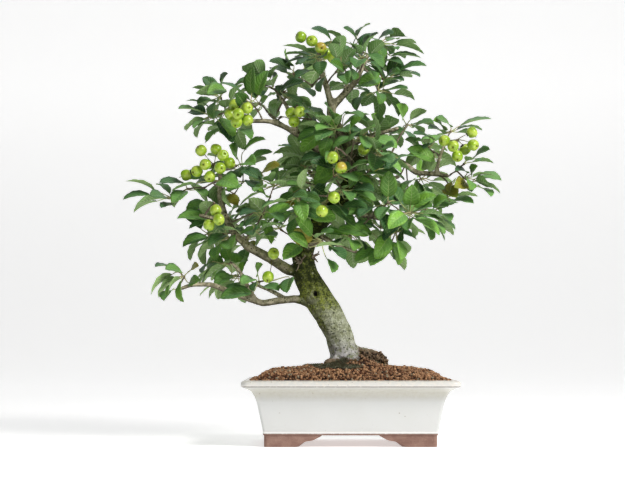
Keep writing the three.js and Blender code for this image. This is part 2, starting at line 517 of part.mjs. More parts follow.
// The mound is skinned in rings from the pot's floor up its wall and then inwards, each point of the top
// thrown a little off the smooth mound, as grains are.
function makeSoil(cuts) {
  const sides = INSIDE_PROFILE.map(([inset, height], i) =>
    potRing(inset + 2 * CLEARANCE, height + (i === 0 ? CLEARANCE : 0)));
  const next = draws(41);
  const thrown = (reach) => (next() - 0.5) * 2 * reach;
  const tops = SOIL_RINGS.map(([inset, count], i) => evenly(potRing(inset, 0), count).map((p) => {
    const loose = i === 0 ? 0 : GRAIN_RELIEF;
    return new THREE.Vector3(p.x + thrown(loose), p.y + thrown(loose), soilHeight(p.x, p.y) + thrown(loose));
  }));
  const body = newBody();
  const peak = [new THREE.Vector3(0, 0, soilHeight(0, 0))];
  const laid = [...sides, ...tops, peak].map((ring) => addRing(body, ring));
  bridgeAll(body, laid);
  capStart(body, laid[0]);
  return solidOf(mesh(body.points, body.index)).subtract(joined(cuts));
}

// A value between two ends, by a share from 0 to 1.
function within([low, high], share) {
  return low + (high - low) * share;
}

// The half-width of an apple leaf along its length, as a share of its widest.
function outline(t) {
  const widest = Math.pow(WIDEST_AT, BASE_ROUNDNESS) * Math.pow(1 - WIDEST_AT, TIP_ROUNDNESS);
  return (Math.pow(t, BASE_ROUNDNESS) * Math.pow(1 - t, TIP_ROUNDNESS)) / widest;
}

// Where a blade's surface lies: t runs from base to tip, s from edge to edge.
function bladePoint(leaf, grow, t, s, lift) {
  const along = leaf.tip.clone().sub(leaf.base);
  const length = along.length();
  along.normalize();
  const across = new THREE.Vector3().crossVectors(along, leaf.normal);
  const share = t <= 0 || t >= 1 ? 0 : outline(t);
  const wave = s === 0 ? 0 : leaf.wave * Math.sin(9 * t + leaf.phase + s);
  const half = leaf.width / 2 + grow;
  const up = 4 * leaf.arch * length * t * (1 - t) + (leaf.fold * half * Math.abs(s) + wave) * share;
  return leaf.base.clone()
    .addScaledVector(along, t * length)
    .addScaledVector(across, s * share * half)
    .addScaledVector(leaf.normal, up + lift);
}

// Three corners round a stalk: two above and one below, facing along it.
function threeCorners(middle, direction, across, radius) {
  const side = flattened(across, direction);
  const up = new THREE.Vector3().crossVectors(side, direction);
  return [[-0.87, 0.5], [0.87, 0.5], [0, -1]].map(([s, u]) =>
    middle.clone().addScaledVector(side, s * radius).addScaledVector(up, u * radius));
}

// A leaf grown from a face of a knob: the three-cornered petiole opens into a blade that is arched, folded
// up along its midrib and waved along its edge. The blade is split into triangles alike on both faces.
function addLeaf(body, leaf) {
  const along = leaf.tip.clone().sub(leaf.base).normalize();
  const across = new THREE.Vector3().crossVectors(along, leaf.normal);
  const turn = leaf.base.clone().sub(leaf.root).normalize().add(along).normalize();
  const neck = addRing(body, threeCorners(leaf.base, turn, across, PETIOLE_RADIUS));
  bridge(body, turned(body, leaf.face, neck), neck);
  const half = BLADE_THICKNESS / 2;
  const edges = [-1, 1].map((s) => BLADE_STEPS.flatMap((t) =>
    [half, -half].map((lift) => bladePoint(leaf, 0, t, s, lift))));
  const rib = [half, -half].map((lift) => bladePoint(leaf, 0, RIB_STEP, 0, lift));
  const [n0, n1, n2] = neck;
  const [l0, l0b, l1, l1b, r0, r0b, r1, r1b, top, bottom, tip] =
    addRing(body, [...edges.flat(), ...rib, leaf.tip]);
  body.index.push(
    top, n0, n1, top, n1, r0, top, r0, r1, top, r1, tip, top, tip, l1, top, l1, l0, top, l0, n0,
    bottom, r0b, n2, bottom, r1b, r0b, bottom, tip, r1b, bottom, l1b, tip, bottom, l0b, l1b, bottom, n2, l0b,
    n1, n2, r0b, n1, r0b, r0, r0, r0b, r1b, r0, r1b, r1, r1, r1b, tip,
    n2, n0, l0, n2, l0, l0b, l0b, l0, l1, l0b, l1, l1b, l1b, l1, tip);
}

// A spur knob: twenty small faces, one turned to look where the stem comes from. Leaves, fruit stalks and
// further stems each grow from a face of their own.
const knobShape = new THREE.IcosahedronGeometry(1);
knobShape.deleteAttribute("normal");
knobShape.deleteAttribute("uv");
const knobMesh = mergeVertices(knobShape, 1e-4);
const knobPoints = Array.from({ length: knobMesh.attributes.position.count }, (_, i) =>
  new THREE.Vector3().fromBufferAttribute(knobMesh.attributes.position, i));
const knobFaces = Array.from({ length: knobMesh.index.count / 3 }, (_, i) =>
  [0, 1, 2].map((k) => knobMesh.index.getX(3 * i + k)));

function middleOf(points) {
  return points.reduce((sum, p) => sum.add(p), new THREE.Vector3()).divideScalar(points.length);
}

function addKnob(body, middle, toward) {
  const firstNormal = middleOf(knobFaces[0].map((i) => knobPoints[i])).normalize();
  const turn = new THREE.Quaternion().setFromUnitVectors(firstNormal, toward);
  const ids = addRing(body, knobPoints.map((p) =>
    p.clone().applyQuaternion(turn).multiplyScalar(KNOB_RADIUS).add(middle)));
  const faces = knobFaces.map((face) => {
    const ring = face.map((i) => ids[i]);
    const centre = middleOf(ring.map((i) => body.points[i]));
    return { ring, centre, normal: centre.clone().sub(middle).normalize(), used: false };
  });
  return { middle, faces };
}

// The free face of a knob that looks most nearly towards a place.
function faceToward(knob, target) {
  const direction = target.clone().sub(knob.middle).normalize();
  return knob.faces.filter((face) => !face.used)
    .reduce((a, b) => (b.normal.dot(direction) > a.normal.dot(direction) ? b : a));
}

// A stem from inside the wood to a knob, or from one knob to the next, slightly bowed.
function addStem(body, start, knob) {
  const arrival = faceToward(knob, start.middle);
  arrival.used = true;
  const target = [...arrival.ring].reverse();
  const direction = knob.middle.clone().sub(start.middle).normalize();
  const across = new THREE.Vector3(direction.y, -direction.x, 0.01).normalize();
  let near;
  if (start.faces) {
    const departure = faceToward(start, knob.middle);
    departure.used = true;
    near = departure.ring;
  } else {
    near = addRing(body, threeCorners(start.middle, direction, across, STEM_RADIUS));
    capStart(body, near);
  }
  const bow = start.middle.clone().lerp(knob.middle, 0.55);
  bow.z += STEM_BOW * start.middle.distanceTo(knob.middle);
  const bend = turned(body, addRing(body, threeCorners(bow, direction, across, STEM_RADIUS * 0.85)), near);
  bridge(body, near, bend);
  bridge(body, bend, turned(body, target, bend));
}

// The wood-to-knob and knob-to-knob stems of a spray or bunch. Each chain after the first starts at the
// nearest knob.
function addStems(body, chains) {
  const knobs = [];
  chains.forEach((chain, i) => {
    let start = i === 0 ? { middle: woodNear(chain[0]) } : nearestKnob(knobs, chain[0]);
    chain.forEach((middle) => {
      const knob = addKnob(body, middle, start.middle.clone().sub(middle).normalize());
      addStem(body, start, knob);
      knobs.push(knob);
      start = knob;
    });
  });
  return knobs;
}

function nearestKnob(knobs, target) {
  return knobs.reduce((a, b) => (b.middle.distanceTo(target) < a.middle.distanceTo(target) ? b : a));
}

// The body closed: each knob's faces that nothing grows from are filled.
function closed(body, knobs) {
  const left = knobs.flatMap((knob) => knob.faces.filter((face) => !face.used).flatMap((face) => face.ring));
  return solidOf(mesh(body.points, [...body.index, ...left]));
}

// A blade alone, grown by a margin: what a new leaf has to find free.
function bladeSolid(leaf, thickness, grow) {
  const back = [...BLADE_STEPS].reverse();
  const rim = [[0, 0], ...BLADE_STEPS.map((t) => [t, 1]), [1, 0], ...back.map((t) => [t, -1])];
  const faces = [thickness / 2, -thickness / 2].map((lift) => [
    bladePoint(leaf, grow, RIB_STEP, 0, lift), ...rim.map(([t, s]) => bladePoint(leaf, grow, t, s, lift))]);
  const count = rim.length;
  const index = [];
  for (let i = 1; i <= count; i++) {
    const k = (i % count) + 1;
    const below = count + 1;
    index.push(0, i, k, below, below + k, below + i);
    index.push(i, below + i, below + k, i, below + k, k);
  }
  return solidOf(mesh(faces.flat(), index));
}

// The petiole alone, between two shares of its length, grown by a margin.
function petioleSolid(leaf, from, to, grow) {
  const ends = [from, to].map((share) => leaf.root.clone().lerp(leaf.base, share));
  const radius = PETIOLE_RADIUS + grow;
  return limbSolid(ends, [radius, radius], 3);
}

// Takes out of v what lies along the unit vector n.
function flattened(v, n) {
  return v.clone().addScaledVector(n, -v.dot(n)).normalize();
}

// A direction square to an axis: the wish flattened, or the other one where the axis lies along the wish.
function squareTo(axis, wish, other) {
  return flattened(Math.abs(axis.dot(wish)) < 0.9 ? wish : other, axis);
}

// A leaf read in the photograph. One that looks short points at the viewer, by as much as it takes to
// reach its full length.
function readLeaf(row, knobs, depth, attempt, next) {
  const [baseAcross, baseDown, tipAcross, tipDown, widthSeen] = row;
  const slip = attempt === 0 ? 0 : (next() - 0.5) * Math.min(MOST_SLIP, SLIP_STEP * attempt);
  const lean = attempt === 0 ? 0 : (next() - 0.5) * Math.min(MOST_LEAN, LEAN_STEP * attempt);
  const near = depth + slip;
  const base = place([baseAcross, baseDown, near]);
  const flatTip = place([tipAcross, tipDown, near]);
  const seen = flatTip.distanceTo(base);
  const full = Math.max(seen * 1.02, Math.min(LEAF_LENGTH, seen * MOST_HIDDEN));
  const toward = Math.min(Math.sqrt(full * full - seen * seen), MOST_TOWARD_VIEWER);
  const tip = place([tipAcross, tipDown, near - toward]);
  const along = tip.clone().sub(base).normalize();
  const width = Math.min(LEAF_WIDTHS[1], Math.max(LEAF_WIDTHS[0], full * LEAF_SLENDERNESS));
  const millimetres = (base.y - PHOTO_EYE[1]) / PHOTO_FOCAL;
  const tilt = Math.acos(Math.min(1, (widthSeen * millimetres) / width)) + lean;
  const viewer = flattened(new THREE.Vector3(0, -1, 0), along);
  const upper = new THREE.Vector3().crossVectors(along, viewer);
  if (upper.z < 0) upper.negate();
  const normal = viewer.multiplyScalar(Math.cos(tilt)).addScaledVector(upper, Math.sin(tilt)).normalize();
  return { base, tip, normal, width, knob: nearestKnob(knobs, base) };
}

// A leaf that fills a spray: round a knob by a draw, lifted to the light and turned outwards.
function fillLeaf(knobs, next) {
  const knob = knobs[Math.min(knobs.length - 1, Math.floor(knobs.length * (1 - 0.8 * next() * next())))];
  const root = knob.middle;
  const axis = knob.faces[0].normal.clone().negate();
  const first = squareTo(axis, new THREE.Vector3(0, 0, 1), new THREE.Vector3(1, 0, 0));
  const second = new THREE.Vector3().crossVectors(axis, first);
  const round = 2 * Math.PI * next();
  const spread = within(FILL_SPREAD, next());
  const away = axis.multiplyScalar(Math.cos(spread))
    .addScaledVector(first, Math.sin(spread) * Math.cos(round))
    .addScaledVector(second, Math.sin(spread) * Math.sin(round));
  away.z = away.z * 0.7 + FILL_TO_LIGHT;
  away.normalize();
  const outward = new THREE.Vector3(root.x, root.y * 1.4, 0).normalize();
  const base = root.clone().addScaledVector(away, within(FILL_PETIOLE, next()));
  const along = away.clone().addScaledVector(outward, FILL_OUTWARD);
  along.z += within(FILL_DROOP, next());
  along.normalize();
  const length = LEAF_LENGTH * within(FILL_LENGTH_SHARE, next());
  const tip = base.clone().addScaledVector(along, length);
  const facing = new THREE.Vector3(0, 0, 1).addScaledVector(outward, 0.9 * next())
    .add(new THREE.Vector3(next() - 0.5, next() - 0.5, next() - 0.5).multiplyScalar(0.8));
  return { base, tip, normal: flattened(facing, along), width: length * within(FILL_WIDTH_SHARE, next()), knob };
}

// What bends a blade out of flat, the same for every attempt at one leaf.
function addShape(leaf, spray, number) {
  const next = draws(seedOf(spray, number, SHAPE_DRAW));
  leaf.arch = within(ARCH, next());
  leaf.fold = within(FOLD, next());
  leaf.wave = WAVE_HEIGHT * next();
  leaf.phase = 2 * Math.PI * next();
  return leaf;
}

function overlaps(a, b) {
  return a.min.x < b.max.x && b.min.x < a.max.x && a.min.y < b.max.y && b.min.y < a.max.y
    && a.min.z < b.max.z && b.min.z < a.max.z;
}

function boxOf(solid) {
  const { min, max } = solid.boundingBox();
  return { min: new THREE.Vector3(...min), max: new THREE.Vector3(...max) };
}

// The wood, at its own size and grown by the clearance.
const limbs = LIMBS.map(([name, sides, rows]) => {
  const control = rows.map((row) => place(row));
  const lengths = [0];
  control.forEach((p, i) => i && lengths.push(lengths[i - 1] + p.distanceTo(control[i - 1])));
  const total = lengths[lengths.length - 1];
  const curve = new THREE.CatmullRomCurve3(control, false, "centripetal");
  const count = Math.ceil(total / LIMB_STEP);
  const points = [];
  const radii = [];
  for (let i = 0; i <= count; i++) {
    const u = (i / count) * (rows.length - 1);
    const k = Math.min(Math.floor(u), rows.length - 2);
    points.push(curve.getPoint(i / count));
    radii.push(rows[k][3] + (rows[k + 1][3] - rows[k][3]) * (u - k));
  }
  return { name, sides, points, radii };
});
const wood = joined(limbs.map((limb) => limbSolid(limb.points, limb.radii, limb.sides)));
const woodClear = joined(limbs.map(({ points, radii, sides }) => {
  const last = points.length - 1;
  const longer = [...points];
  longer[0] = points[0].clone().add(points[0].clone().sub(points[1]).setLength(CLEARANCE));
  longer[last] = points[last].clone().add(points[last].clone().sub(points[last - 1]).setLength(CLEARANCE));
  return limbSolid(longer, radii.map((r) => r + CLEARANCE), sides);
}));

// Every place on the wood, with its radius, so that a stem can find what it grows from.
const woodPlaces = limbs.filter((limb) => !limb.name.startsWith("root"))
  .flatMap((limb) => limb.points.flatMap((p, i) => (i === 0 ? [] : [0, 0.5].map((share) => ({
    p: p.clone().lerp(limb.points[i - 1], share),
    radius: limb.radii[i],
  })))));

// The nearest place on the wood that no other stem has started from.
const started = [];
function woodNear(target) {
  const free = woodPlaces.filter((w) => started.every((p) => p.distanceTo(w.p) > START_SPACING));
  const reach = (w) => w.p.distanceTo(target) - w.radius;
  const best = free.reduce((a, b) => (reach(b) < reach(a) ? b : a)).p;
  started.push(best);
  return best;
}

const placed = [];
function remember(solid, owner) {
  placed.push({ solid, owner, box: boxOf(solid) });
}
remember(woodClear, "wood");

// A ring of points round an apple's axis, its radius and height as shares of the fruit's radius.
function appleRing(middle, axis, radius, height, sides) {
  const first = squareTo(axis, new THREE.Vector3(1, 0, 0), new THREE.Vector3(0, 1, 0));
  const second = new THREE.Vector3().crossVectors(axis, first);
  return Array.from({ length: sides }, (_, i) => {
    const angle = (2 * Math.PI * i) / sides;
    return middle.clone().addScaledVector(axis, height * FRUIT_RADIUS)
      .addScaledVector(first, radius * FRUIT_RADIUS * Math.cos(angle))
      .addScaledVector(second, radius * FRUIT_RADIUS * Math.sin(angle));
  });
}

// An apple on its stalk: dimpled at the calyx, round, dimpled again where the stalk sinks in, and the stalk
// ends on a face of the knob.
function addApple(body, knob, middle) {
  const face = faceToward(knob, middle);
  face.used = true;
  const axis = face.centre.clone().sub(middle).normalize();
  const rings = APPLE_PROFILE.map(([radius, height]) =>
    addRing(body, appleRing(middle, axis, radius, height, radius === 0 ? 1 : APPLE_SIDES)));
  rings.push(addRing(body, appleRing(middle, axis, STALK_RADIUS / FRUIT_RADIUS, STALK_DEPTH, 3)));
  bridgeAll(body, rings);
  const stalk = rings[rings.length - 1];
  bridge(body, stalk, turned(body, [...face.ring].reverse(), stalk));
}

// Apples of a bunch that would touch are drawn apart in depth, the nearer one forwards and the other back.
function drawnApart(middles) {
  for (let round = 0; round < 40; round++) {
    middles.forEach((a, i) => middles.slice(i + 1).forEach((b) => {
      const miss = FRUIT_SPACING - a.distanceTo(b);
      if (miss <= 0) return;
      const sign = a.y <= b.y ? 1 : -1;
      a.y -= sign * (miss / 2 + 0.2);
      b.y += sign * (miss / 2 + 0.2);
    }));
  }
  return middles;
}

const bunches = BUNCHES.map(([name, meet, rows]) => {
  const body = newBody();
  const knobs = addStems(body, [[place(meet)]]);
  drawnApart(rows.map((row) => place(row))).forEach((middle) => addApple(body, knobs[0], middle));
  return { name, solid: closed(body, knobs).subtract(woodClear) };
});

// Every spray's stems and knobs, which its leaves then grow from.
const sprays = SPRAYS.map(([name, stemRows, leafRows, fill], number) => {
  const body = newBody();
  const knobs = addStems(body, stemRows.map((rows) => rows.map((row) => place(row))));
  const depth = stemRows.flat().reduce((sum, row) => sum + row[2], 0) / stemRows.flat().length;
  return { name, number, body, knobs, stem: closed(body, knobs).subtract(woodClear), leafRows, fill, depth };
});

sprays.forEach((spray) => remember(spray.stem, spray.name));
bunches.forEach((bunch) => remember(bunch.solid, bunch.name));

// Whether a solid is clear of all that has been placed, of its own spray's pieces too unless they may touch.
function clearOf(solid, owner, sameMayTouch) {
  const box = boxOf(solid);
  return placed.every((other) => {
    if (sameMayTouch && other.owner === owner) return true;
    if (!overlaps(box, other.box)) return true;
    return solid.intersect(other.solid).isEmpty();
  });
}

// Each leaf is tried again, turned or moved in depth, until it crosses nothing; one that never fits is
// left out.
function grow(spray, number, make) {
  for (let attempt = 0; attempt < LEAF_TRIES; attempt++) {
    const leaf = addShape(make(attempt, draws(seedOf(spray.number, number, attempt))), spray.number, number);
    const reach = leaf.base.clone().sub(leaf.knob.middle);
    if (reach.length() < SHORTEST_PETIOLE) leaf.base.addScaledVector(reach.normalize(), SHORTEST_PETIOLE / 2);
    const face = faceToward(leaf.knob, leaf.base);
    leaf.root = face.centre;
    leaf.face = face.ring;
    const along = leaf.tip.clone().sub(leaf.base).normalize();
    const stalk = leaf.base.clone().sub(leaf.root).normalize();
    leaf.normal = flattened(leaf.normal, along);
    if (stalk.dot(face.normal) < LEAST_FACING || stalk.dot(along) < -MOST_BACKWARD) continue;
    if (!clearOf(bladeSolid(leaf, BLADE_THICKNESS + 2 * BLADE_GAP, BLADE_GAP), spray.name, false)) continue;
    if (!clearOf(petioleSolid(leaf, 0.3, 0.97, BLADE_GAP), spray.name, false)) continue;
    if (!clearOf(petioleSolid(leaf, 0, 0.4, 2 * BLADE_GAP), spray.name, true)) continue;
    face.used = true;
    addLeaf(spray.body, leaf);
    remember(bladeSolid(leaf, BLADE_THICKNESS, 0), spray.name);
    remember(petioleSolid(leaf, 0.1, 1, 0), spray.name);
    return true;
  }
  return false;
}

sprays.forEach((spray) => spray.leafRows.forEach((row, i) =>
  grow(spray, i, (attempt, next) => readLeaf(row, spray.knobs, spray.depth, attempt, next))));
sprays.forEach((spray) => {
  for (let i = 0; i < spray.fill; i++) {
    grow(spray, FIRST_FILL + i, (attempt, next) => fillLeaf(spray.knobs, next));
  }
});

// The largest body of a solid: what is left if a cut frees a scrap.
function mainBody(solid) {
  return solid.decompose().reduce((best, s) => (s.volume() > best.volume() ? s : best));
}

const CERAMIC = { color: 0xdcdccf, roughness: 0.28, metalness: 0 };
const NET = { color: 0x24282a, roughness: 0.7, metalness: 0 };
const EARTH = { color: 0x8a5436, roughness: 0.95, metalness: 0 };
const BARK = { color: 0x7c7a58, roughness: 0.85, metalness: 0 };
const LEAF = { color: 0x3f7a2c, roughness: 0.5, metalness: 0 };
const GREEN_APPLE = { color: 0xa9c83c, roughness: 0.32, metalness: 0 };

const tree = new THREE.Group();
function add(name, solid, look) {
  const piece = new THREE.Mesh(geometryOf(solid), new THREE.MeshStandardMaterial(look));
  piece.name = name;
  tree.add(piece);
}

const nets = [-1, 1].map((side) => makeDrainMesh(side));
const netRooms = [-1, 1].map((side) => {
  const room = new THREE.BoxGeometry(MESH_SIDE + 2 * CLEARANCE, MESH_SIDE + 2 * CLEARANCE,
    MESH_THICKNESS + 4 * CLEARANCE);
  room.translate(side * DRAIN_OFFSET, 0, FOOT_HEIGHT + FLOOR_THICKNESS + MESH_THICKNESS / 2 + CLEARANCE);
  return solidOf(room);
});
add("pot", makePot(), CERAMIC);
add("drain_mesh_left", nets[0], NET);
add("drain_mesh_right", nets[1], NET);
add("soil", mainBody(makeSoil([woodClear, ...netRooms])), EARTH);
add("wood", wood, BARK);
bunches.forEach(({ name, solid }) => add(name, mainBody(solid), GREEN_APPLE));
sprays.forEach(({ name, body, knobs }) => add(name, mainBody(closed(body, knobs).subtract(woodClear)), LEAF));

tree.updateMatrixWorld(true);
const whole = new THREE.Box3().setFromObject(tree, true);
const middle = whole.getCenter(new THREE.Vector3());
tree.position.set(-middle.x, -middle.y, 0);

export default tree;
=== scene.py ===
# %% [markdown]
# # An apple bonsai
# A small apple tree stands in a glazed pot, full of leaves and small green fruit. The plain solids of the
# tree come first and stay fixed. This script dresses them: it finds where each leaf, apple, twig and
# surface is in those solids, and builds a finer piece in the same place.

import itertools
import math

import bpy
import numpy as np
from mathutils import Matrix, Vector, geometry, noise
from mathutils.bvhtree import BVHTree


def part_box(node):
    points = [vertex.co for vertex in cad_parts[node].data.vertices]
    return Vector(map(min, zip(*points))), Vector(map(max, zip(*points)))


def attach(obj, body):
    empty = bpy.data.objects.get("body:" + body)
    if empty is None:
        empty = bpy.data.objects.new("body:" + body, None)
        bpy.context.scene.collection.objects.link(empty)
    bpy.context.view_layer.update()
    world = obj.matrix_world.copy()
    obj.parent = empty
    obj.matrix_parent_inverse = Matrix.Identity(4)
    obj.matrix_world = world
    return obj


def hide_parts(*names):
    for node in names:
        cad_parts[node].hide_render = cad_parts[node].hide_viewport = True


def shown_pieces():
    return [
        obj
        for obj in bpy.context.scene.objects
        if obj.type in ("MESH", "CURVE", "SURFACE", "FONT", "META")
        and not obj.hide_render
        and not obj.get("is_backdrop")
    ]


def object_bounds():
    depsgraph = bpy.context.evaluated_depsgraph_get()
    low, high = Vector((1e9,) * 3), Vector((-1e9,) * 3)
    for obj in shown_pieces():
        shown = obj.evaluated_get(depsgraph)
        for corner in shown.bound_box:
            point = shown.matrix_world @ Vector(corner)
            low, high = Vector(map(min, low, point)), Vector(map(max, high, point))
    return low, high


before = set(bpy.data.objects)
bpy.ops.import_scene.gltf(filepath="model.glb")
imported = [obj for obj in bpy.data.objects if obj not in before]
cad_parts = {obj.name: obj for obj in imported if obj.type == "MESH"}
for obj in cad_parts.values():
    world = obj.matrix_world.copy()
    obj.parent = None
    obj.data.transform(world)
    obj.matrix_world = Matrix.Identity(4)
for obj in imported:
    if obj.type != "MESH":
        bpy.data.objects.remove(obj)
cad_low, cad_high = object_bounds()
MM = 0.001
pot_low, pot_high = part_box("pot")
POT_MIDDLE = np.array([(pot_low.x + pot_high.x) / 2, (pot_low.y + pot_high.y) / 2, 0]) / MM
print("solids in the frame:", len(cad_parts), "pot's middle in mm:", POT_MIDDLE.round(1))

# %% [markdown]
# The camera stands where the photographer stood: low, a little left of the pot's middle, and looking
# slightly up. The eye is given in millimetres from the pot's middle, on the table, so it moves with the pot.

# %% The camera
PICTURE_WIDTH = 625
FOCAL_PIXELS = 1515
EYE = np.array([-63.5, -2635, 178]) + POT_MIDDLE
PITCH = math.radians(3.83)
SENSOR = 36


def put(name, data):
    """A new object in the scene that shows this data."""
    made = bpy.data.objects.new(name, data)
    bpy.context.scene.collection.objects.link(made)
    return made


view = bpy.data.cameras.new("view")
view.sensor_width = SENSOR
view.lens = FOCAL_PIXELS / PICTURE_WIDTH * SENSOR
view.clip_end = 50
camera = put("camera", view)
camera.location = EYE * MM
camera.rotation_euler = (math.pi / 2 + PITCH, 0, 0)
bpy.context.scene.camera = camera
print("lens in mm:", round(view.lens, 2))

# %% [markdown]
# A studio shot of a plant uses a sweep: one sheet that lies flat in front and curves up behind, so that no
# line shows where floor meets wall. Large soft lamps give gentle shadows. The surround looks pale past the
# edges of the sheet, but lights the tree only a little, so that the shadows in the crown stay deep.

# %% The studio
SWEEP_SIDE = 9.0
SWEEP_FRONT = -4.0
SWEEP_BACK = 3.2
SWEEP_TURN = 1.4
SWEEP_TOP = 6.0
TURN_STEPS = 12
PAPER_GLOW = 0.5
SURROUND_LIGHT = 0.06
SURROUND_SEEN = 0.95
TREE_MIDDLE = (0.0, 0.0, 0.38)


def add_lamp(name, place, size, power, colour):
    """A square lamp aimed at the middle of the tree."""
    light = bpy.data.lights.new(name, "AREA")
    light.shape = "SQUARE"
    light.size = size
    light.energy = power
    light.color = colour
    holder = put(name, light)
    holder.location = place
    holder.rotation_euler = (Vector(TREE_MIDDLE) - Vector(place)).to_track_quat("-Z", "Y").to_euler()


def sweep_paper():
    paper = bpy.data.materials.new("sweep_paper")
    paper.use_nodes = True
    shader = paper.node_tree.nodes["Principled BSDF"].inputs
    shader["Base Color"].default_value = (0.93, 0.93, 0.93, 1)
    shader["Roughness"].default_value = 0.9
    shader["Emission Color"].default_value = (1, 1, 1, 1)
    shader["Emission Strength"].default_value = PAPER_GLOW
    return paper


def make_sweep():
    profile = [(SWEEP_FRONT, 0.0), (SWEEP_BACK, 0.0)]
    for step in range(1, TURN_STEPS + 1):
        turn = step / TURN_STEPS * math.pi / 2
        profile.append((SWEEP_BACK + SWEEP_TURN * math.sin(turn), SWEEP_TURN * (1 - math.cos(turn))))
    profile.append((SWEEP_BACK + SWEEP_TURN, SWEEP_TOP))
    points = [(x, y, z) for y, z in profile for x in (-SWEEP_SIDE, SWEEP_SIDE)]
    faces = [(2 * i, 2 * i + 1, 2 * i + 3, 2 * i + 2) for i in range(len(profile) - 1)]
    mesh = bpy.data.meshes.new("sweep")
    mesh.from_pydata(points, [], faces)
    mesh.shade_smooth()
    mesh.materials.append(sweep_paper())
    put("sweep", mesh)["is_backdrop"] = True


make_sweep()
add_lamp("key", (1.7, -1.7, 2.0), 0.9, 75, (1.0, 0.985, 0.96))
add_lamp("fill", (-2.2, -1.6, 1.2), 2.2, 5, (0.96, 0.98, 1.0))
add_lamp("top", (0.2, 0.3, 2.6), 1.4, 11, (1.0, 1.0, 1.0))


def make_surround():
    world = bpy.data.worlds.new("surround")
    world.use_nodes = True
    tree = world.node_tree
    rays = tree.nodes.new("ShaderNodeLightPath")
    strength = tree.nodes.new("ShaderNodeMapRange")
    strength.inputs["To Min"].default_value = SURROUND_LIGHT
    strength.inputs["To Max"].default_value = SURROUND_SEEN
    surround = tree.nodes["Background"]
    surround.inputs["Color"].default_value = (0.97, 0.985, 1.0, 1)
    tree.links.new(rays.outputs["Is Camera Ray"], strength.inputs["Value"])
    tree.links.new(strength.outputs["Result"], surround.inputs["Strength"])
    bpy.context.scene.world = world


make_surround()
bpy.context.scene.view_settings.view_transform = "Standard"

# %% [markdown]
# Meshes here are made from plain arrays, in millimetres. A Parts object gathers points and faces, with a
# number for each face that says which finish it has, and three marks for each point that the finishes can
# read: for a leaf, how far along it is, how far across, and a tint of its own.

# %% Gathering points and faces
class Parts:
    def __init__(self):
        self.points, self.faces, self.finishes, self.marks = [], [], [], []
        self.count = 0

    def add(self, points, faces, finish, marks=(0, 0, 0)):
        finishes = finish if hasattr(finish, "__len__") else [finish] * len(faces)
        self.points.append(np.asarray(points, float))
        self.faces.extend(tuple(int(i) + self.count for i in face) for face in faces)
        self.finishes.extend(finishes)
        self.marks.append(np.broadcast_to(marks, (len(points), 3)))
        self.count += len(points)

    def piece(self, name, looks, nodes, slot, sharp=None):
        mesh = bpy.data.meshes.new(name)
        mesh.from_pydata(np.concatenate(self.points) * MM, [], self.faces)
        mesh.polygons.foreach_set("material_index", self.finishes)
        marks = mesh.attributes.new("marks", "FLOAT_VECTOR", "POINT")
        marks.data.foreach_set("vector", np.concatenate(self.marks).astype(np.float32).ravel())
        for look in looks:
            mesh.materials.append(look)
        mesh.shade_smooth()
        if sharp is not None:
            mesh.set_sharp_from_angle(angle=math.radians(sharp))
        made = put(name, mesh)
        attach(made, "root")
        if nodes:
            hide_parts(*nodes)
        return made


def unit(v):
    v = np.asarray(v, float)
    return v / np.maximum(np.linalg.norm(v, axis=-1, keepdims=True), 1e-9)


def turns(count):
    """Angles at even steps round a full turn."""
    return np.arange(count) / count * 2 * math.pi


def round_about(side, other, angles):
    """A circle of radius 1 in the plane of two directions."""
    return np.outer(np.cos(angles), side) + np.outer(np.sin(angles), other)


def band_faces(rings, count, first=0):
    """Squares that join rings of points, each ring to the one after it."""
    return [(a + k, a + (k + 1) % count, a + count + (k + 1) % count, a + count + k)
            for a in range(first, first + (rings - 1) * count, count) for k in range(count)]


def lathe_faces(rings, count):
    """The faces of a closed round body: a point at its start, rings of points, and a point at its end."""
    top, last = 1 + (rings - 1) * count, 1 + rings * count
    start = [(0, 1 + (k + 1) % count, 1 + k) for k in range(count)]
    end = [(last, top + k, top + (k + 1) % count) for k in range(count)]
    return start + band_faces(rings, count, 1) + end


def tube(path, radii, sides):
    """Points and faces of a closed tube along a path, with a point at each end."""
    path = np.asarray(path, float)
    ahead = unit(np.gradient(path, axis=0))
    side = unit(np.cross(ahead[0], [0.31, 0.22, 0.93]))
    points = [path[:1]]
    for middle, way, radius in zip(path, ahead, radii):
        side = unit(side - way * (side @ way))
        points.append(middle + round_about(side, np.cross(way, side), turns(sides)) * radius)
    points.append(path[-1:])
    return np.concatenate(points), lathe_faces(len(path), sides)


def bend(a, b, c, d, steps):
    """A smooth path from a to d that leaves towards b and arrives from c."""
    t = np.linspace(0, 1, steps)[:, None]
    return (1 - t) ** 3 * a + 3 * t * (1 - t) ** 2 * b + 3 * t * t * (1 - t) * c + t ** 3 * d


def bumps(points, size, seed):
    """Smooth noise from -1 to 1 at each point, with lumps of about that size."""
    shift = Vector((seed * 17.3, seed * 5.1, seed * 9.7))
    return np.array([noise.noise(Vector(p) / size + shift) for p in points])


# %% [markdown]
# The solids carry all that is needed to place the fine leaves. Each leaf solid has two corners on its
# midrib, one above and one below, two pairs along each edge, a tip, and a three-cornered neck where the
# petiole joins. Walking from corner to corner gives back its base, tip, width, fold and upper side, so a
# leaf that moves in the solids moves here too.

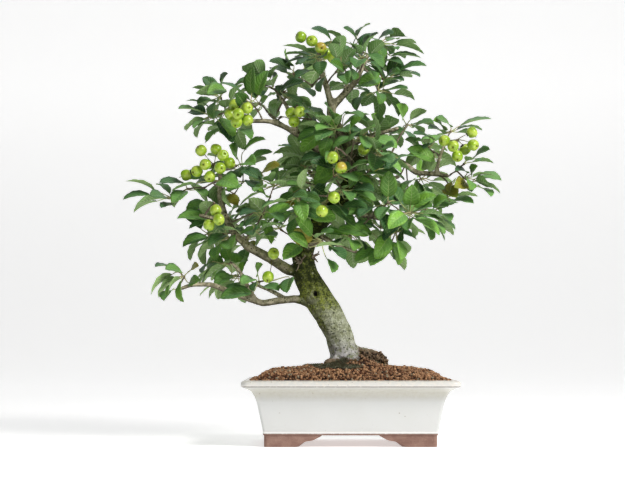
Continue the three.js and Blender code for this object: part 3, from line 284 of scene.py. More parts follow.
# %% Reading the solids
BLADE_THICKNESS = 0.8
EDGE_STEPS = (0.27, 0.66)
RIB_STEP = 0.48
BASE_ROUNDNESS = 0.62
TIP_ROUNDNESS = 0.78
WIDEST_AT = BASE_ROUNDNESS / (BASE_ROUNDNESS + TIP_ROUNDNESS)
KNOB_INNER_RADIUS = 2.7 * 0.795
FRUIT_RADIUS = 10
FRUIT_SIDES = 7
BLOSSOM_END = 0.7
BLOSSOM_SLOPE = math.hypot(0.62, 0.14)
SAME_PLACE = 0.01
SAME_STEP = 0.02


def outline(t):
    """Half-width of an apple leaf along its length, as a share of its widest."""
    widest = WIDEST_AT ** BASE_ROUNDNESS * (1 - WIDEST_AT) ** TIP_ROUNDNESS
    from_base, from_tip = np.clip(t, 0, 1), np.clip(1 - t, 0, 1)
    return np.power(from_base, BASE_ROUNDNESS) * np.power(from_tip, TIP_ROUNDNESS) / widest


def welded(node):
    """A CAD node's points, shared ones merged, and its triangles."""
    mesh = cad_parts[node].data
    raw = np.array([v.co for v in mesh.vertices], float).reshape(-1, 3) / MM
    points, inverse = np.unique(raw.round(3), axis=0, return_inverse=True)
    inverse = inverse.ravel()
    triangles = [tuple(inverse[i] for i in face.vertices) for face in mesh.polygons]
    return points, [t for t in triangles if len(set(t)) == 3]


def neighbours(triangles):
    near = {}
    for a, b, c in triangles:
        near.setdefault(a, set()).update((b, c))
        near.setdefault(b, set()).update((a, c))
        near.setdefault(c, set()).update((a, b))
    return near


def thick_pairs(points, found):
    """Pairs of points that lie one blade's thickness apart."""
    pairs = itertools.combinations(sorted(found), 2)
    return [(a, b) for a, b in pairs
            if abs(np.linalg.norm(points[a] - points[b]) - BLADE_THICKNESS) < SAME_PLACE]


def rooted(points, near, ring, own):
    """The knob face that a petiole or stalk grows from: its corners, its middle and its outward normal."""
    face = set().union(*(near[i] for i in ring)) - own - set(ring)
    corners = points[sorted(face)]
    middle = corners.mean(0)
    normal = unit(np.cross(corners[1] - corners[0], corners[2] - corners[0]))
    if normal @ (points[list(ring)].mean(0) - middle) < 0:
        normal = -normal
    return face, middle, normal


def read_leaf(points, near, tip):
    """The leaf whose tip is at this point, or None if no leaf ends there."""
    pairs = thick_pairs(points, near[tip])
    if len(near[tip]) != 6 or len(pairs) != 3:
        return None
    ribs = [pair for pair in pairs if pair[1] not in near[pair[0]]]
    if len(ribs) != 1:
        return None
    top, bottom = sorted(ribs[0], key=lambda i: -len(near[i]))
    up = (points[top] - points[bottom]) / BLADE_THICKNESS
    above, below = near[top] - {tip}, near[bottom] - {tip}
    edges = [(a, b) for a in above for b in below
             if np.abs(points[a] - points[b] - up * BLADE_THICKNESS).max() < SAME_PLACE]
    neck = (above | below) - {i for pair in edges for i in pair}
    if len(edges) != 4 or len(neck) != 3:
        return None
    base = points[list(neck)].mean(0)
    length = np.linalg.norm(points[tip] - base)
    along = (points[tip] - base) / length
    across = np.cross(along, up)
    middles = [(points[a] + points[b]) / 2 - base for a, b in edges]
    arch = (((points[top] + points[bottom]) / 2 - base) @ up) / (4 * length * RIB_STEP * (1 - RIB_STEP))
    near_half, far_half = (
        [m for m in middles if abs(m @ along / length - step) < SAME_STEP] for step in EDGE_STEPS)
    width = 2 * np.mean([abs(m @ across) / outline(EDGE_STEPS[0]) for m in near_half])
    lifts = {}
    for side in (-1, 1):
        for step, group in zip(EDGE_STEPS, (near_half, far_half)):
            m = next(m for m in group if side * (m @ across) > 0)
            lifts[side, step] = (m @ up - 4 * arch * length * step * (1 - step)) / outline(step)
    own = {tip, top, bottom} | neck | {i for pair in edges for i in pair}
    face, root, facing = rooted(points, near, neck, own)
    return {"base": base, "tip": points[tip], "up": up, "width": width, "arch": arch, "lifts": lifts,
            "root": root, "facing": facing, "own": own, "face": face}


def read_apple(points, near, calyx):
    """The apple whose blossom end is at this point, or None if no apple ends there."""
    first = near[calyx]
    if len(first) != FRUIT_SIDES:
        return None
    spans = np.linalg.norm(points[sorted(first)] - points[calyx], axis=1)
    if np.ptp(spans) > 2 * SAME_PLACE or abs(spans[0] - FRUIT_RADIUS * BLOSSOM_SLOPE) > 5 * SAME_PLACE:
        return None
    axis = unit(points[calyx] - points[sorted(first)].mean(0))
    middle = points[calyx] + BLOSSOM_END * FRUIT_RADIUS * axis
    own, rim = {calyx} | first, first
    for _ in range(2):
        rim = set().union(*(near[i] for i in rim)) - own
        own |= rim
    neck = set().union(*(near[i] for i in rim)) - own
    own |= neck
    face, root, facing = rooted(points, near, neck, own)
    return {"middle": middle, "axis": axis, "root": root, "facing": facing, "own": own, "face": face}


def read_node(node):
    """A node's leaves or apples, and what is left: its stems and knobs, closed where those grew."""
    points, triangles = welded(node)
    near = neighbours(triangles)
    reader = read_apple if node.startswith("fruit_") else read_leaf
    grown = [g for g in (reader(points, near, i) for i in sorted(near)) if g]
    own = set().union(*(g["own"] for g in grown))
    stems = [t for t in triangles if not own.intersection(t)]
    for g in grown:
        a, b, c = sorted(g["face"])
        if np.cross(points[b] - points[a], points[c] - points[a]) @ g["facing"] < 0:
            b, c = c, b
        stems.append((a, b, c))
    return points, stems, grown


FIXED = ("pot", "soil", "wood", "drain_mesh_left", "drain_mesh_right")
BUNCHES = sorted(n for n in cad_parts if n.startswith("fruit_"))
SPRAYS = sorted(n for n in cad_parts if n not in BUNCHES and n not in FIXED)
read = {node: read_node(node) for node in BUNCHES + SPRAYS}
print("leaves read:", sum(len(read[n][2]) for n in SPRAYS))
print("apples read:", sum(len(read[n][2]) for n in BUNCHES))

# %% [markdown]
# A finish is a tree of small nodes, and much of it is arithmetic. The class below lets that be written as a
# formula: a sum, product or comparison of two shader values makes the Math node for it.

# %% Shader values
def linear(swatch):
    """A colour read off a swatch, 0 to 255, as the linear numbers that a shader works with."""
    return [c / 255 / 12.92 if c / 255 <= 0.04045 else ((c / 255 + 0.055) / 1.055) ** 2.4 for c in swatch]


def feed(socket, value):
    """Link a shader value to an input, or set the input to a number or a swatch's colour."""
    if isinstance(value, Value):
        value.tree.links.new(value.socket, socket)
    elif isinstance(value, tuple):
        socket.default_value = (*linear(value), 1)
    else:
        socket.default_value = value


def node(tree, kind, inputs, **settings):
    """A shader node with its settings, and its inputs by name or number."""
    made = tree.nodes.new("ShaderNode" + kind)
    for name, value in settings.items():
        setattr(made, name, value)
    for name, value in inputs.items():
        feed(made.inputs[name], value)
    return made


def math_node(operation, *values):
    tree = next(value.tree for value in values if isinstance(value, Value))
    return Value(node(tree, "Math", dict(enumerate(values)), operation=operation).outputs[0])


class Value:
    """An output of a shader node, as something to calculate with."""
    def __init__(self, socket):
        self.socket, self.tree = socket, socket.id_data

    __add__ = __radd__ = lambda self, other: math_node("ADD", self, other)
    __mul__ = __rmul__ = lambda self, other: math_node("MULTIPLY", self, other)
    __sub__ = lambda self, other: math_node("SUBTRACT", self, other)
    __rsub__ = lambda self, other: math_node("SUBTRACT", other, self)
    __rtruediv__ = lambda self, other: math_node("DIVIDE", other, self)
    __pow__ = lambda self, power: math_node("POWER", self, power)
    __lt__ = lambda self, other: math_node("LESS_THAN", self, other)
    __gt__ = lambda self, other: math_node("GREATER_THAN", self, other)
    __abs__ = lambda self: math_node("ABSOLUTE", self)

    def ramp(self, low, high, to_low=0.0, to_high=1.0):
        """A soft step from one value to another while this one goes from low to high."""
        inputs = {"Value": self, "From Min": low, "From Max": high, "To Min": to_low, "To Max": to_high}
        return Value(node(self.tree, "MapRange", inputs, interpolation_type="SMOOTHSTEP").outputs["Result"])


def split(value, kind="XYZ"):
    """The three parts of a vector or a colour."""
    return [Value(socket) for socket in node(value.tree, "Separate" + kind, {0: value}).outputs]


def coats(base, *layers):
    """A base colour with other colours laid over it, each through a mask from 0 to 1."""
    for mask, colour in layers:
        made = node(mask.tree, "Mix", {"Factor": mask, 6: base, 7: colour}, data_type="RGBA")
        base = Value(made.outputs[2])
    return base


def place_in(tree):
    """The object's own coordinates in metres."""
    return Value(node(tree, "TexCoord", {}).outputs["Object"])


def marks_in(tree):
    """The three marks that a piece carries at each of its points."""
    return split(Value(node(tree, "Attribute", {}, attribute_name="marks").outputs["Vector"]))


# %% [markdown]
# Grain, wear, spots and moss come back in several finishes. Each such effect is a shader node group: it is
# built once, has named sockets, and gives out masks and values that a finish can mix with. Patches are
# soft-edged areas cut out of noise: moss on bark, damp on clay. Specks are small dots, one for some of the
# cells of a cell pattern: lenticels, iron spots in a glaze, grit. Leaf veins are drawn from a leaf's marks.

# %% The shared effects
NOISE_DETAIL = 4.0
SIDE_VEINS = 7
VEINS_FORWARD = 2.2
VEINS_CURVE = 1.25


def effect(name, inputs, outputs, build):
    """A shader node group with inputs {name: default}, whose outputs are what build makes of them."""
    group = bpy.data.node_groups.new(name, "ShaderNodeTree")
    for socket, default in inputs.items():
        made = group.interface.new_socket(name=socket, in_out="INPUT", socket_type="NodeSocketFloat")
        made.default_value = default
    for socket in outputs:
        group.interface.new_socket(name=socket, in_out="OUTPUT", socket_type="NodeSocketFloat")
    given = group.nodes.new("NodeGroupInput").outputs
    results = group.nodes.new("NodeGroupOutput").inputs
    values = build(group, *(Value(given[socket]) for socket in inputs))
    for socket, value in zip(outputs, values):
        feed(results[socket], value)
    return group


def patches(group, size, cover, softness):
    inputs = {"Vector": place_in(group), "Scale": 1.0 / size, "Detail": NOISE_DETAIL, "Roughness": 0.6}
    cloud = Value(node(group, "TexNoise", inputs).outputs["Fac"])
    middle = cover * -0.5 + 0.75
    return cloud.ramp(middle - softness, middle + softness), cloud


def specks(group, spacing, radius, share):
    inputs = {"Vector": place_in(group), "Scale": 1.0 / spacing}
    cells = node(group, "TexVoronoi", inputs, feature="F1").outputs
    chance, size, _ = split(Value(cells["Color"]), "Color")
    return [(Value(cells["Distance"]) < radius * size) * (chance < share)]


def leaf_veins(group, width):
    along, across, tint = marks_in(group)
    across = abs(across)
    run = across ** VEINS_CURVE * -VEINS_FORWARD + along * SIDE_VEINS
    away = abs(math_node("FRACT", run + 20.0) - 0.5)
    side = away.ramp(0.5 - width * (1.15 - across), 0.5)
    rib_width = along * -0.06 + 0.085
    rib = across.ramp(rib_width * 0.4, rib_width, 1.0, 0.0)
    inside = across.ramp(0.86, 1.0, 1.0, 0.0)
    puffed = away.ramp(0.1, 0.5, 1.0, 0.0) * inside
    return math_node("MAXIMUM", rib, side * inside), puffed - rib, across.ramp(0.8, 1.0), tint


PATCHES = effect("patches", {"Size": 0.02, "Cover": 0.5, "Softness": 0.2}, ("Mask", "Noise"), patches)
SPECKS = effect("specks", {"Spacing": 0.004, "Radius": 0.2, "Share": 0.5}, ("Mask",), specks)
LEAF_VEINS = effect("leaf_veins", {"Width": 0.1}, ("Veins", "Relief", "Edge", "Tint"), leaf_veins)
print("shared effects:", [g.name for g in bpy.data.node_groups])


# %% A finish in the making
class Finish:
    """A new material, with what its colours can be mixed by."""
    def __init__(self, name):
        self.look = bpy.data.materials.new(name)
        self.look.use_nodes = True
        self.tree = self.look.node_tree

    def use(self, group, **values):
        """A shared effect placed in this finish with its own values: its outputs."""
        return [Value(socket) for socket in node(self.tree, "Group", values, node_tree=group).outputs]

    def patches(self, size, softness=0.2, cover=0.5):
        """Patches of about that size in metres: their mask, and the noise that they are cut from."""
        return self.use(PATCHES, Size=size, Softness=softness, Cover=cover)

    def noise(self, size):
        return self.patches(size)[1]

    def specks(self, spacing, radius, share):
        return self.use(SPECKS, Spacing=spacing, Radius=radius, Share=share)[0]

    def marks(self):
        return marks_in(self.tree)

    def height(self):
        return split(place_in(self.tree))[2]

    def facing(self):
        return split(Value(node(self.tree, "NewGeometry", {}).outputs["Normal"]))

    def done(self, colour, roughness, relief, depth, strength=1.0, gloss=None):
        """The material itself, once its shader has its colour, roughness, relief in metres and gloss."""
        bump = node(self.tree, "Bump", {"Height": relief, "Distance": depth, "Strength": strength})
        wanted = {"Base Color": colour, "Roughness": roughness, "Normal": Value(bump.outputs["Normal"])}
        for name, value in (wanted | (gloss or {})).items():
            feed(self.tree.nodes["Principled BSDF"].inputs[name], value)
        return self.look


# %% [markdown]
# The trunk, branches and surface roots grew as one body, so they are one piece. The solid's flat sides are
# rounded by a subdivision surface, rebuilt as an even skin of small squares by a voxel remesh, and pushed
# back out to the solid's own size, since rounding makes a branch thinner. Then the bark gets its relief:
# shallow lumps and ridges on the trunk, less on thin branches, and an old knot hole where a branch was cut.

# %% Helpers for an even skin
def refined(points, faces, **modifiers):
    """A rough body after modifiers {kind: settings}, as arrays: points in millimetres, faces, normals."""
    used = sorted({i for face in faces for i in face})
    renumber = {old: new for new, old in enumerate(used)}
    mesh = bpy.data.meshes.new("rough")
    mesh.from_pydata(points[used] * MM, [], [[renumber[i] for i in face] for face in faces])
    rough = put("rough", mesh)
    for kind, settings in modifiers.items():
        modifier = rough.modifiers.new(kind, kind)
        for name, value in settings.items():
            setattr(modifier, name, value)
    fine = rough.evaluated_get(bpy.context.evaluated_depsgraph_get()).to_mesh()
    found = np.array([v.co for v in fine.vertices]) / MM
    rings = [tuple(face.vertices) for face in fine.polygons]
    normals = np.array([v.normal for v in fine.vertices])
    rough.evaluated_get(bpy.context.evaluated_depsgraph_get()).to_mesh_clear()
    bpy.data.objects.remove(rough)
    bpy.data.meshes.remove(mesh)
    return found, rings, normals


def averaged(values, squares, rounds):
    """Values at the points of a skin, each drawn halfway to the mean of its neighbours, again and again."""
    values = np.array(values, float).reshape(len(values), -1)
    a, b = squares.ravel(), np.roll(squares, -1, axis=1).ravel()
    count = np.bincount(a, minlength=len(values)) + np.bincount(b, minlength=len(values))
    for _ in range(rounds):
        total = np.stack([np.bincount(a, column[b], len(values)) + np.bincount(b, column[a], len(values))
                          for column in values.T], 1)
        values += 0.5 * (total / count[:, None] - values)
    return values


def outward(points, squares):
    """The outward direction at each point of a skin."""
    corners = points[squares]
    facing = np.cross(corners[:, 2] - corners[:, 0], corners[:, 3] - corners[:, 1])
    total = np.stack([np.bincount(squares.ravel(), np.repeat(column, 4), len(points))
                      for column in facing.T], 1)
    return unit(total)


def solid_tree(points, faces):
    return BVHTree.FromPolygons([Vector(p) for p in points], [tuple(int(i) for i in f) for f in faces])


# %% Places that the camera sees
PICTURE_MIDDLE = (312.5, 238.5)


def sight(px, py):
    """The direction in which a place in the view lies from the eye, given in the view's pixels."""
    across, down = px - PICTURE_MIDDLE[0], py - PICTURE_MIDDLE[1]
    ahead = np.array([0, math.cos(PITCH), math.sin(PITCH)])
    upward = np.array([0, -math.sin(PITCH), math.cos(PITCH)])
    return unit(FOCAL_PIXELS * ahead + np.array([across, 0, 0]) - down * upward)


def seen_on(tree, px, py):
    """Where the line of sight meets a body, and which way the body faces there."""
    return tree.ray_cast(Vector(EYE), Vector(sight(px, py)))[:2]


# %% The wood's skin
WOOD_VOXEL = 1.7
BARK_PROUD = 0.35
TRUNK_THICK = 45
MOST_THICK = TRUNK_THICK * 1.6
SKIN_EVENING = 3
DEPTH_EVENING = 24
THICKNESS_EVENING = 30
KNOT_AT = (315.5, 294)
KNOT_RADIUS = 4.6
KNOT_DEPTH = 7.5
CREASE_FROM = (316, 291)
CREASE_TO = (310, 262)

SOIL_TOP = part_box("soil")[1].z / MM
wood_points, wood_triangles = welded("wood")
wood_solid = solid_tree(wood_points, wood_triangles)
skin_points, skin_squares, _ = refined(wood_points, wood_triangles, SUBSURF={"levels": 2},
                                       REMESH={"mode": "VOXEL", "voxel_size": WOOD_VOXEL * MM})
skin_squares = np.array(skin_squares)
skin_points = averaged(skin_points, skin_squares, SKIN_EVENING)
skin_out = outward(skin_points, skin_squares)


def sunk(point, out):
    """How far a point of the skin lies inside the solid, or outside it as a negative number."""
    near, _, _, distance = wood_solid.find_nearest(Vector(point))
    return distance if (near - Vector(point)).dot(Vector(out)) > 0 else -distance


depth = [sunk(p, n) for p, n in zip(skin_points, skin_out)]
skin_points += skin_out * (averaged(depth, skin_squares, DEPTH_EVENING) + BARK_PROUD)
skin_out = outward(skin_points, skin_squares)
skin = solid_tree(skin_points, skin_squares)


def through(point, out):
    """The wood's thickness under a point of its skin."""
    hit = skin.ray_cast(Vector(point - out * 0.6), Vector(-out))
    return hit[3] if hit[0] is not None else TRUNK_THICK


thick = [min(through(p, n), MOST_THICK) for p, n in zip(skin_points, skin_out)]
thick = averaged(thick, skin_squares, THICKNESS_EVENING)[:, 0]
print("skin squares:", len(skin_squares), "wood in mm:", thick.min().round(1), "to", thick.max().round(1))

# %% The trunk's foot
FOOT_LEVEL = (118, 132)
ROOT_THICK = 30
ROOT_ROOM = 12
ROOT_LUMP = (25, 24)
skin_heights = skin_points[:, 2]
at_foot = (skin_heights > FOOT_LEVEL[0]) & (skin_heights < FOOT_LEVEL[1]) & (thick > ROOT_THICK)
TRUNK_FOOT = skin_points[at_foot].mean(0)
print("the trunk's foot, from the pot's middle:", (TRUNK_FOOT - POT_MIDDLE).round(0))


def earthy(points):
    """How much old soil clings to the wood: fully on the lump of old roots, and just over the soil."""
    above = points[:, 2] - SOIL_TOP
    beside = points[:, 0] - TRUNK_FOOT[0] - ROOT_LUMP[0] + above * 0.6
    low = np.clip(1.2 - above / ROOT_ROOM, 0, 1)
    lump = np.clip(0.5 + beside / 16, 0, 1) * np.clip(1.6 - above / ROOT_LUMP[1], 0, 1)
    return np.maximum(low * 0.8, lump)


# %% The bark's relief
LUMPS_HIGH = 1.3
RIDGES_HIGH = 0.55
RIDGES_STRETCHED = (1, 1, 0.45)
PLATES_HIGH = 0.4
CRAGS = ((5.0, 11, 8), (4.5, 5, 9))
KNOT_LIP = (1.6, 0.5)
KNOT_LIP_HIGH = 1.1
GROOVE_DEEP = 1.7
GROOVE = (0, 2.2)
GROOVE_LIP_HIGH = 0.8
GROOVE_LIP = (5, 2)
GROOVE_WANDERS = 2.8
HOLLOW_SHADE_DEPTH = 3.5


def bark_relief(points, thick):
    """Lumps, upright ridges and small plates, all lower where the wood is thin."""
    share = np.clip(thick / TRUNK_THICK, 0.08, 1)
    ridges = 1 - 2 * np.abs(bumps(points * RIDGES_STRETCHED, 7, 3))
    coarse = LUMPS_HIGH * bumps(points, 22, 1) + RIDGES_HIGH * ridges * share
    return share * coarse + np.minimum(share * 2, 1) * PLATES_HIGH * bumps(points, 4.5, 2)


def stump_relief(points):
    """The lump of old roots is rough all over, like a rotting stump."""
    return earthy(points) * sum(high * bumps(points, size, seed) for high, size, seed in CRAGS)


def swell(away, middle, width):
    """A smooth rise to 1 at the middle, given as a distance, and back to 0 on both sides."""
    return np.exp(-((away - middle) / width) ** 2)


def knot_relief(points, tree):
    """A hole with a raised, healed lip, and the crease that runs up from it."""
    middle = np.array(seen_on(tree, *KNOT_AT)[0])
    away = np.linalg.norm(points - middle, axis=1) / KNOT_RADIUS
    hole = -KNOT_DEPTH * np.exp(-away ** 4) + KNOT_LIP_HIGH * swell(away, *KNOT_LIP)
    low, high = (np.array(seen_on(tree, *end)[0]) for end in (CREASE_FROM, CREASE_TO))
    run = np.clip((points - low) @ (high - low) / ((high - low) @ (high - low)), 0, 1)
    beside = np.linalg.norm(points - low - run[:, None] * (high - low), axis=1)
    beside += GROOVE_WANDERS * bumps(points, 9, 5)
    groove = -GROOVE_DEEP * swell(beside, *GROOVE) + GROOVE_LIP_HIGH * swell(beside, *GROOVE_LIP)
    return hole + groove * (away > 1)


relief = bark_relief(skin_points, thick) + stump_relief(skin_points) + knot_relief(skin_points, skin)
skin_points += skin_out * relief[:, None]
skin = solid_tree(skin_points, skin_squares)
print("relief in mm:", relief.min().round(2), "to", relief.max().round(2))

# %% [markdown]
# Old apple bark is grey-green with a haze of fine dark dots. Olive moss and algae settle where rain runs: on
# the upper trunk and the left side. The same olive, darker, is also painted shade there: the crown's shadow
# on the upper trunk, and the shade of the left side, which faces away from the key lamp. Near the soil the
# bark is washed pale, almost lilac. Where the trunk enters the crown, the old bark, full of cracks, is
# painted nearly black as the crown's shadow, and faces that look downwards are painted darker as shade. The
# marks carry the wood's thickness, so that young wood can be browner, how deep a point lies in a hollow, so
# that shade can be painted in the knot hole and the groove, and where soil clings to the lump of old roots.

# %% Bark
MOSS_AND_SHADE_RISE = (0.15, 0.3)
WASHED = (0.148, 0.185)
# Heights in metres where the crown's shadow is painted on the trunk.
CRACKED_AND_SHADED_HEIGHTS = (0.3, 0.335)
YOUNG_WOOD = (8, 30)
CRACKED_AND_SHADED_WOOD = (14, 26)


def bark():
    look = Finish("bark")
    thickness, hollow, soiled = look.marks()
    facing, height = look.facing(), look.height()
    broad, fine = look.noise(0.03), look.noise(0.0028)
    patch, mottle = look.patches(0.009, 0.12)
    # Moss, and painted shade: the crown's shadow higher up the trunk and the shade of the left side both add
    # to the olive.
    moss_and_shade = height.ramp(*MOSS_AND_SHADE_RISE) * 0.9 + (facing[2] * 0.5 - facing[0]).ramp(0.1, 0.8) * 0.55
    moss_and_shade = moss_and_shade + (broad - 0.5) * 1.5 + (mottle - 0.5) * 1.3
    olive = coats((40, 52, 6), (fine.ramp(0.35, 0.65), (132, 142, 38)))
    brown = coats((126, 118, 98), (patch, (204, 192, 168)))
    washed = height.ramp(*WASHED, 1, 0) * mottle.ramp(0.35, 0.6)
    # Painted shade of the crown: the old bark where the trunk enters the crown is painted nearly black.
    cracked_and_shaded = (broad * 0.1 + height).ramp(*CRACKED_AND_SHADED_HEIGHTS) * mottle.ramp(0.4, 0.54, 0.45, 1)
    crumbs = coats((34, 28, 18),
                   (fine.ramp(0.38, 0.58), (134, 104, 72)),
                   (patch * 0.55, (52, 54, 34)),
                   (broad.ramp(0.52, 0.6, 0, 0.4), (168, 148, 128)))
    colour = coats((142, 147, 114),
                   (patch, (196, 199, 180)),
                   (fine.ramp(0.42, 0.6, 0.5, 0), (96, 97, 72)),
                   (moss_and_shade.ramp(0.24, 0.86) * 0.92, olive),
                   (washed * 0.8, (196, 190, 198)),
                   (thickness.ramp(*YOUNG_WOOD, 1, 0) * 0.8, brown),
                   # Painted shade: faces of the wood that look downwards are darker.
                   (facing[2].ramp(-0.7, -0.1, 0.7, 0), (48, 44, 28)),
                   (cracked_and_shaded * thickness.ramp(*CRACKED_AND_SHADED_WOOD) * 0.94, (24, 32, 2)),
                   (look.specks(0.0034, 0.55, 0.55) * broad.ramp(0.36, 0.56, 0.35, 0.85), (46, 48, 30)),
                   (look.specks(0.006, 0.4, 0.3) * 0.3, (196, 196, 172)),
                   # Painted shade: the knot hole and the groove are painted nearly black.
                   (hollow.ramp(0.3, 0.9), (14, 12, 7)),
                   ((mottle * 1.4 + soiled + fine * 0.7).ramp(1.4, 1.75), crumbs))
    return look.done(colour, mottle.ramp(0.3, 0.7, 0.72, 0.92), mottle * 1.6 + fine, 0.0016, 0.9,
                     {"Specular IOR Level": 0.2})


# %% The wood
def make_wood():
    parts = Parts()
    # How deep the relief sinks there, for the shade painted in hollows.
    hollow = np.clip(-relief / HOLLOW_SHADE_DEPTH, 0, 1)
    marks = np.stack([thick, hollow, earthy(skin_points)], 1)
    parts.add(skin_points, skin_squares.tolist(), 0, marks)
    return parts.piece("wood_with_bark", [bark()], ["wood"], "bark")


make_wood()
print("wood made, with points:", len(skin_points))

# %% [markdown]
# An apple leaf is a satin mid green above and a paler, felted grey-green below, with a pale midrib and
# side veins that run forward to the teeth. Each leaf gets a slightly different green. Where the upper side
# faces up, a bluish-grey sheen is painted on as a reflection of the sky, and leaves near the top of the
# crown are painted darker as shade.

# %% Leaf finishes
WITHERED = (0.962, 0.966)


def upper_leaf():
    look = Finish("leaf_upper")
    veins, relief, edge, tint = look.use(LEAF_VEINS, Width=0.1)
    cloud, fine = look.noise(0.03), look.noise(0.003)
    green = coats((12, 60, 2),
                  (tint ** 1.2, (144, 200, 74)),
                  (cloud.ramp(0.35, 0.7, 0, 0.25), (96, 144, 78)),
                  (fine.ramp(0.4, 0.7, 0, 0.3), (36, 78, 22)),
                  (edge * 0.25, (136, 172, 86)),
                  (veins * 0.5, (172, 200, 122)),
                  # Painted reflection: a bluish-grey sheen of the sky where the upper side faces up.
                  (look.facing()[2].ramp(0.2, 1, 0, 0.3), (120, 166, 140)),
                  (tint.ramp(*WITHERED) * cloud.ramp(0.3, 0.5, 0.4, 0.8), (146, 124, 34)),
                  (look.specks(0.011, 0.16, 0.06) * 0.7, (112, 84, 40)))
    return look.done(green, cloud.ramp(0.3, 0.7, 0.34, 0.46), fine * 0.25 + relief, 0.0005, 0.9,
                     {"Specular IOR Level": 0.34})


def under_leaf():
    look = Finish("leaf_under")
    veins, relief, _, tint = look.use(LEAF_VEINS, Width=0.13)
    fine = look.noise(0.0022)
    green = coats((112, 148, 84),
                  (tint, (160, 190, 122)),
                  (fine.ramp(0.4, 0.7, 0, 0.35), (122, 158, 100)),
                  (veins * 0.7, (206, 220, 180)))
    return look.done(green, 0.75, fine * 0.3 - relief, 0.0006, 0.9, {"Specular IOR Level": 0.25})


def petiole_skin():
    look = Finish("petiole_skin")
    patch, cloud = look.patches(0.012)
    return look.done(coats((188, 206, 136), (patch, (172, 152, 108))), 0.5, cloud, 0.0003)


def twig_bark():
    look = Finish("twig_bark")
    fine = look.noise(0.0018)
    brown = coats((108, 90, 72),
                  (look.patches(0.009, 0.15)[0], (146, 136, 116)),
                  (fine.ramp(0.45, 0.62, 0, 0.6), (58, 46, 38)),
                  (look.specks(0.003, 0.3, 0.3) * 0.5, (176, 164, 140)))
    return look.done(brown, 0.8, fine, 0.0008)


LEAF_LOOKS = [upper_leaf(), under_leaf(), petiole_skin(), twig_bark()]
UPPER, UNDER, PETIOLE, TWIG = range(4)
print("finishes of a leafy spray:", [look.name for look in LEAF_LOOKS])

# %% [markdown]
# The fine blade keeps the solid's base, tip, width, fold and wave, and adds what the real one has: teeth
# that point forward along the edge, a raised midrib below, and a surface that puffs up a little between
# the side veins. It is a thin closed body, so both sides can have a finish of their own.

# %% The fine blade
ROWS = 18
ACROSS = np.array([-1, -0.6, -0.14, 0, 0.14, 0.6, 1])
TOOTH_DEPTH = 0.5
TOOTH_LEAN = 0.35
TOOTHED = (0.03, 0.97)
LEAST_HALF = (0.5, 0.05)
FULL_RELIEF_FROM = 6
HALF_THICKNESS = 0.16
MIDRIB_DEPTH = 0.45
PUFF = 0.28
RIPPLE = 0.5
THIN_EDGE = 0.4
RIB_FADES = 0.7
RIB_ABOVE = 0.35
PETIOLE_RADII = (1.4, 1.1, 0.95, 0.9, 0.85, 0.4)


def blade_faces():
    """The blade's top, its underside, and the thin rim that joins them."""
    columns = len(ACROSS)
    below = (ROWS + 1) * columns
    starts = [i * columns + k for i in range(ROWS) for k in range(columns - 1)]
    top = [(a, a + 1, a + columns + 1, a + columns) for a in starts]
    under = [(a + below, d + below, c + below, b + below) for a, b, c, d in top]
    sides = ((0, 1), (columns - 1, -1))
    edges = [(i * columns + k, columns, turn) for i in range(ROWS) for k, turn in sides]
    edges += [(i * columns + k, 1, turn) for i, turn in ((0, 1), (ROWS, -1)) for k in range(columns - 1)]
    rim = [(a, a + step, a + step + below, a + below)[::turn] for a, step, turn in edges]
    return top + under + rim, [UPPER] * len(top) + [UNDER] * len(under + rim)


BLADE_FACES, BLADE_FINISHES = blade_faces()


def axes(leaf):
    """A leaf's length, the way it points, and the way across it."""
    span = leaf["tip"] - leaf["base"]
    length = np.linalg.norm(span)
    return length, span / length, np.cross(span / length, leaf["up"])


def blade_rise(leaf, t, s):
    """How far the middle of a blade stands above the line from its base to its tip: arch and fold."""
    lift = np.zeros_like(t * s)
    for side in (-1, 1):
        first, second = leaf["lifts"][side, EDGE_STEPS[0]], leaf["lifts"][side, EDGE_STEPS[1]]
        slope = (second - first) / (EDGE_STEPS[1] - EDGE_STEPS[0])
        wave = np.clip(first + slope * (t - EDGE_STEPS[0]), min(first, second) - 2, max(first, second) + 2)
        lift += np.where(s * side > 0, np.abs(s) ** 1.2 * wave, 0) * outline(t)
    return 4 * leaf["arch"] * axes(leaf)[0] * t * (1 - t) + lift


def placed(leaf, forward, reach, rise):
    length, along, across = axes(leaf)
    return (leaf["base"] + (forward * length)[..., None] * along
            + reach[..., None] * across + rise[..., None] * leaf["up"])


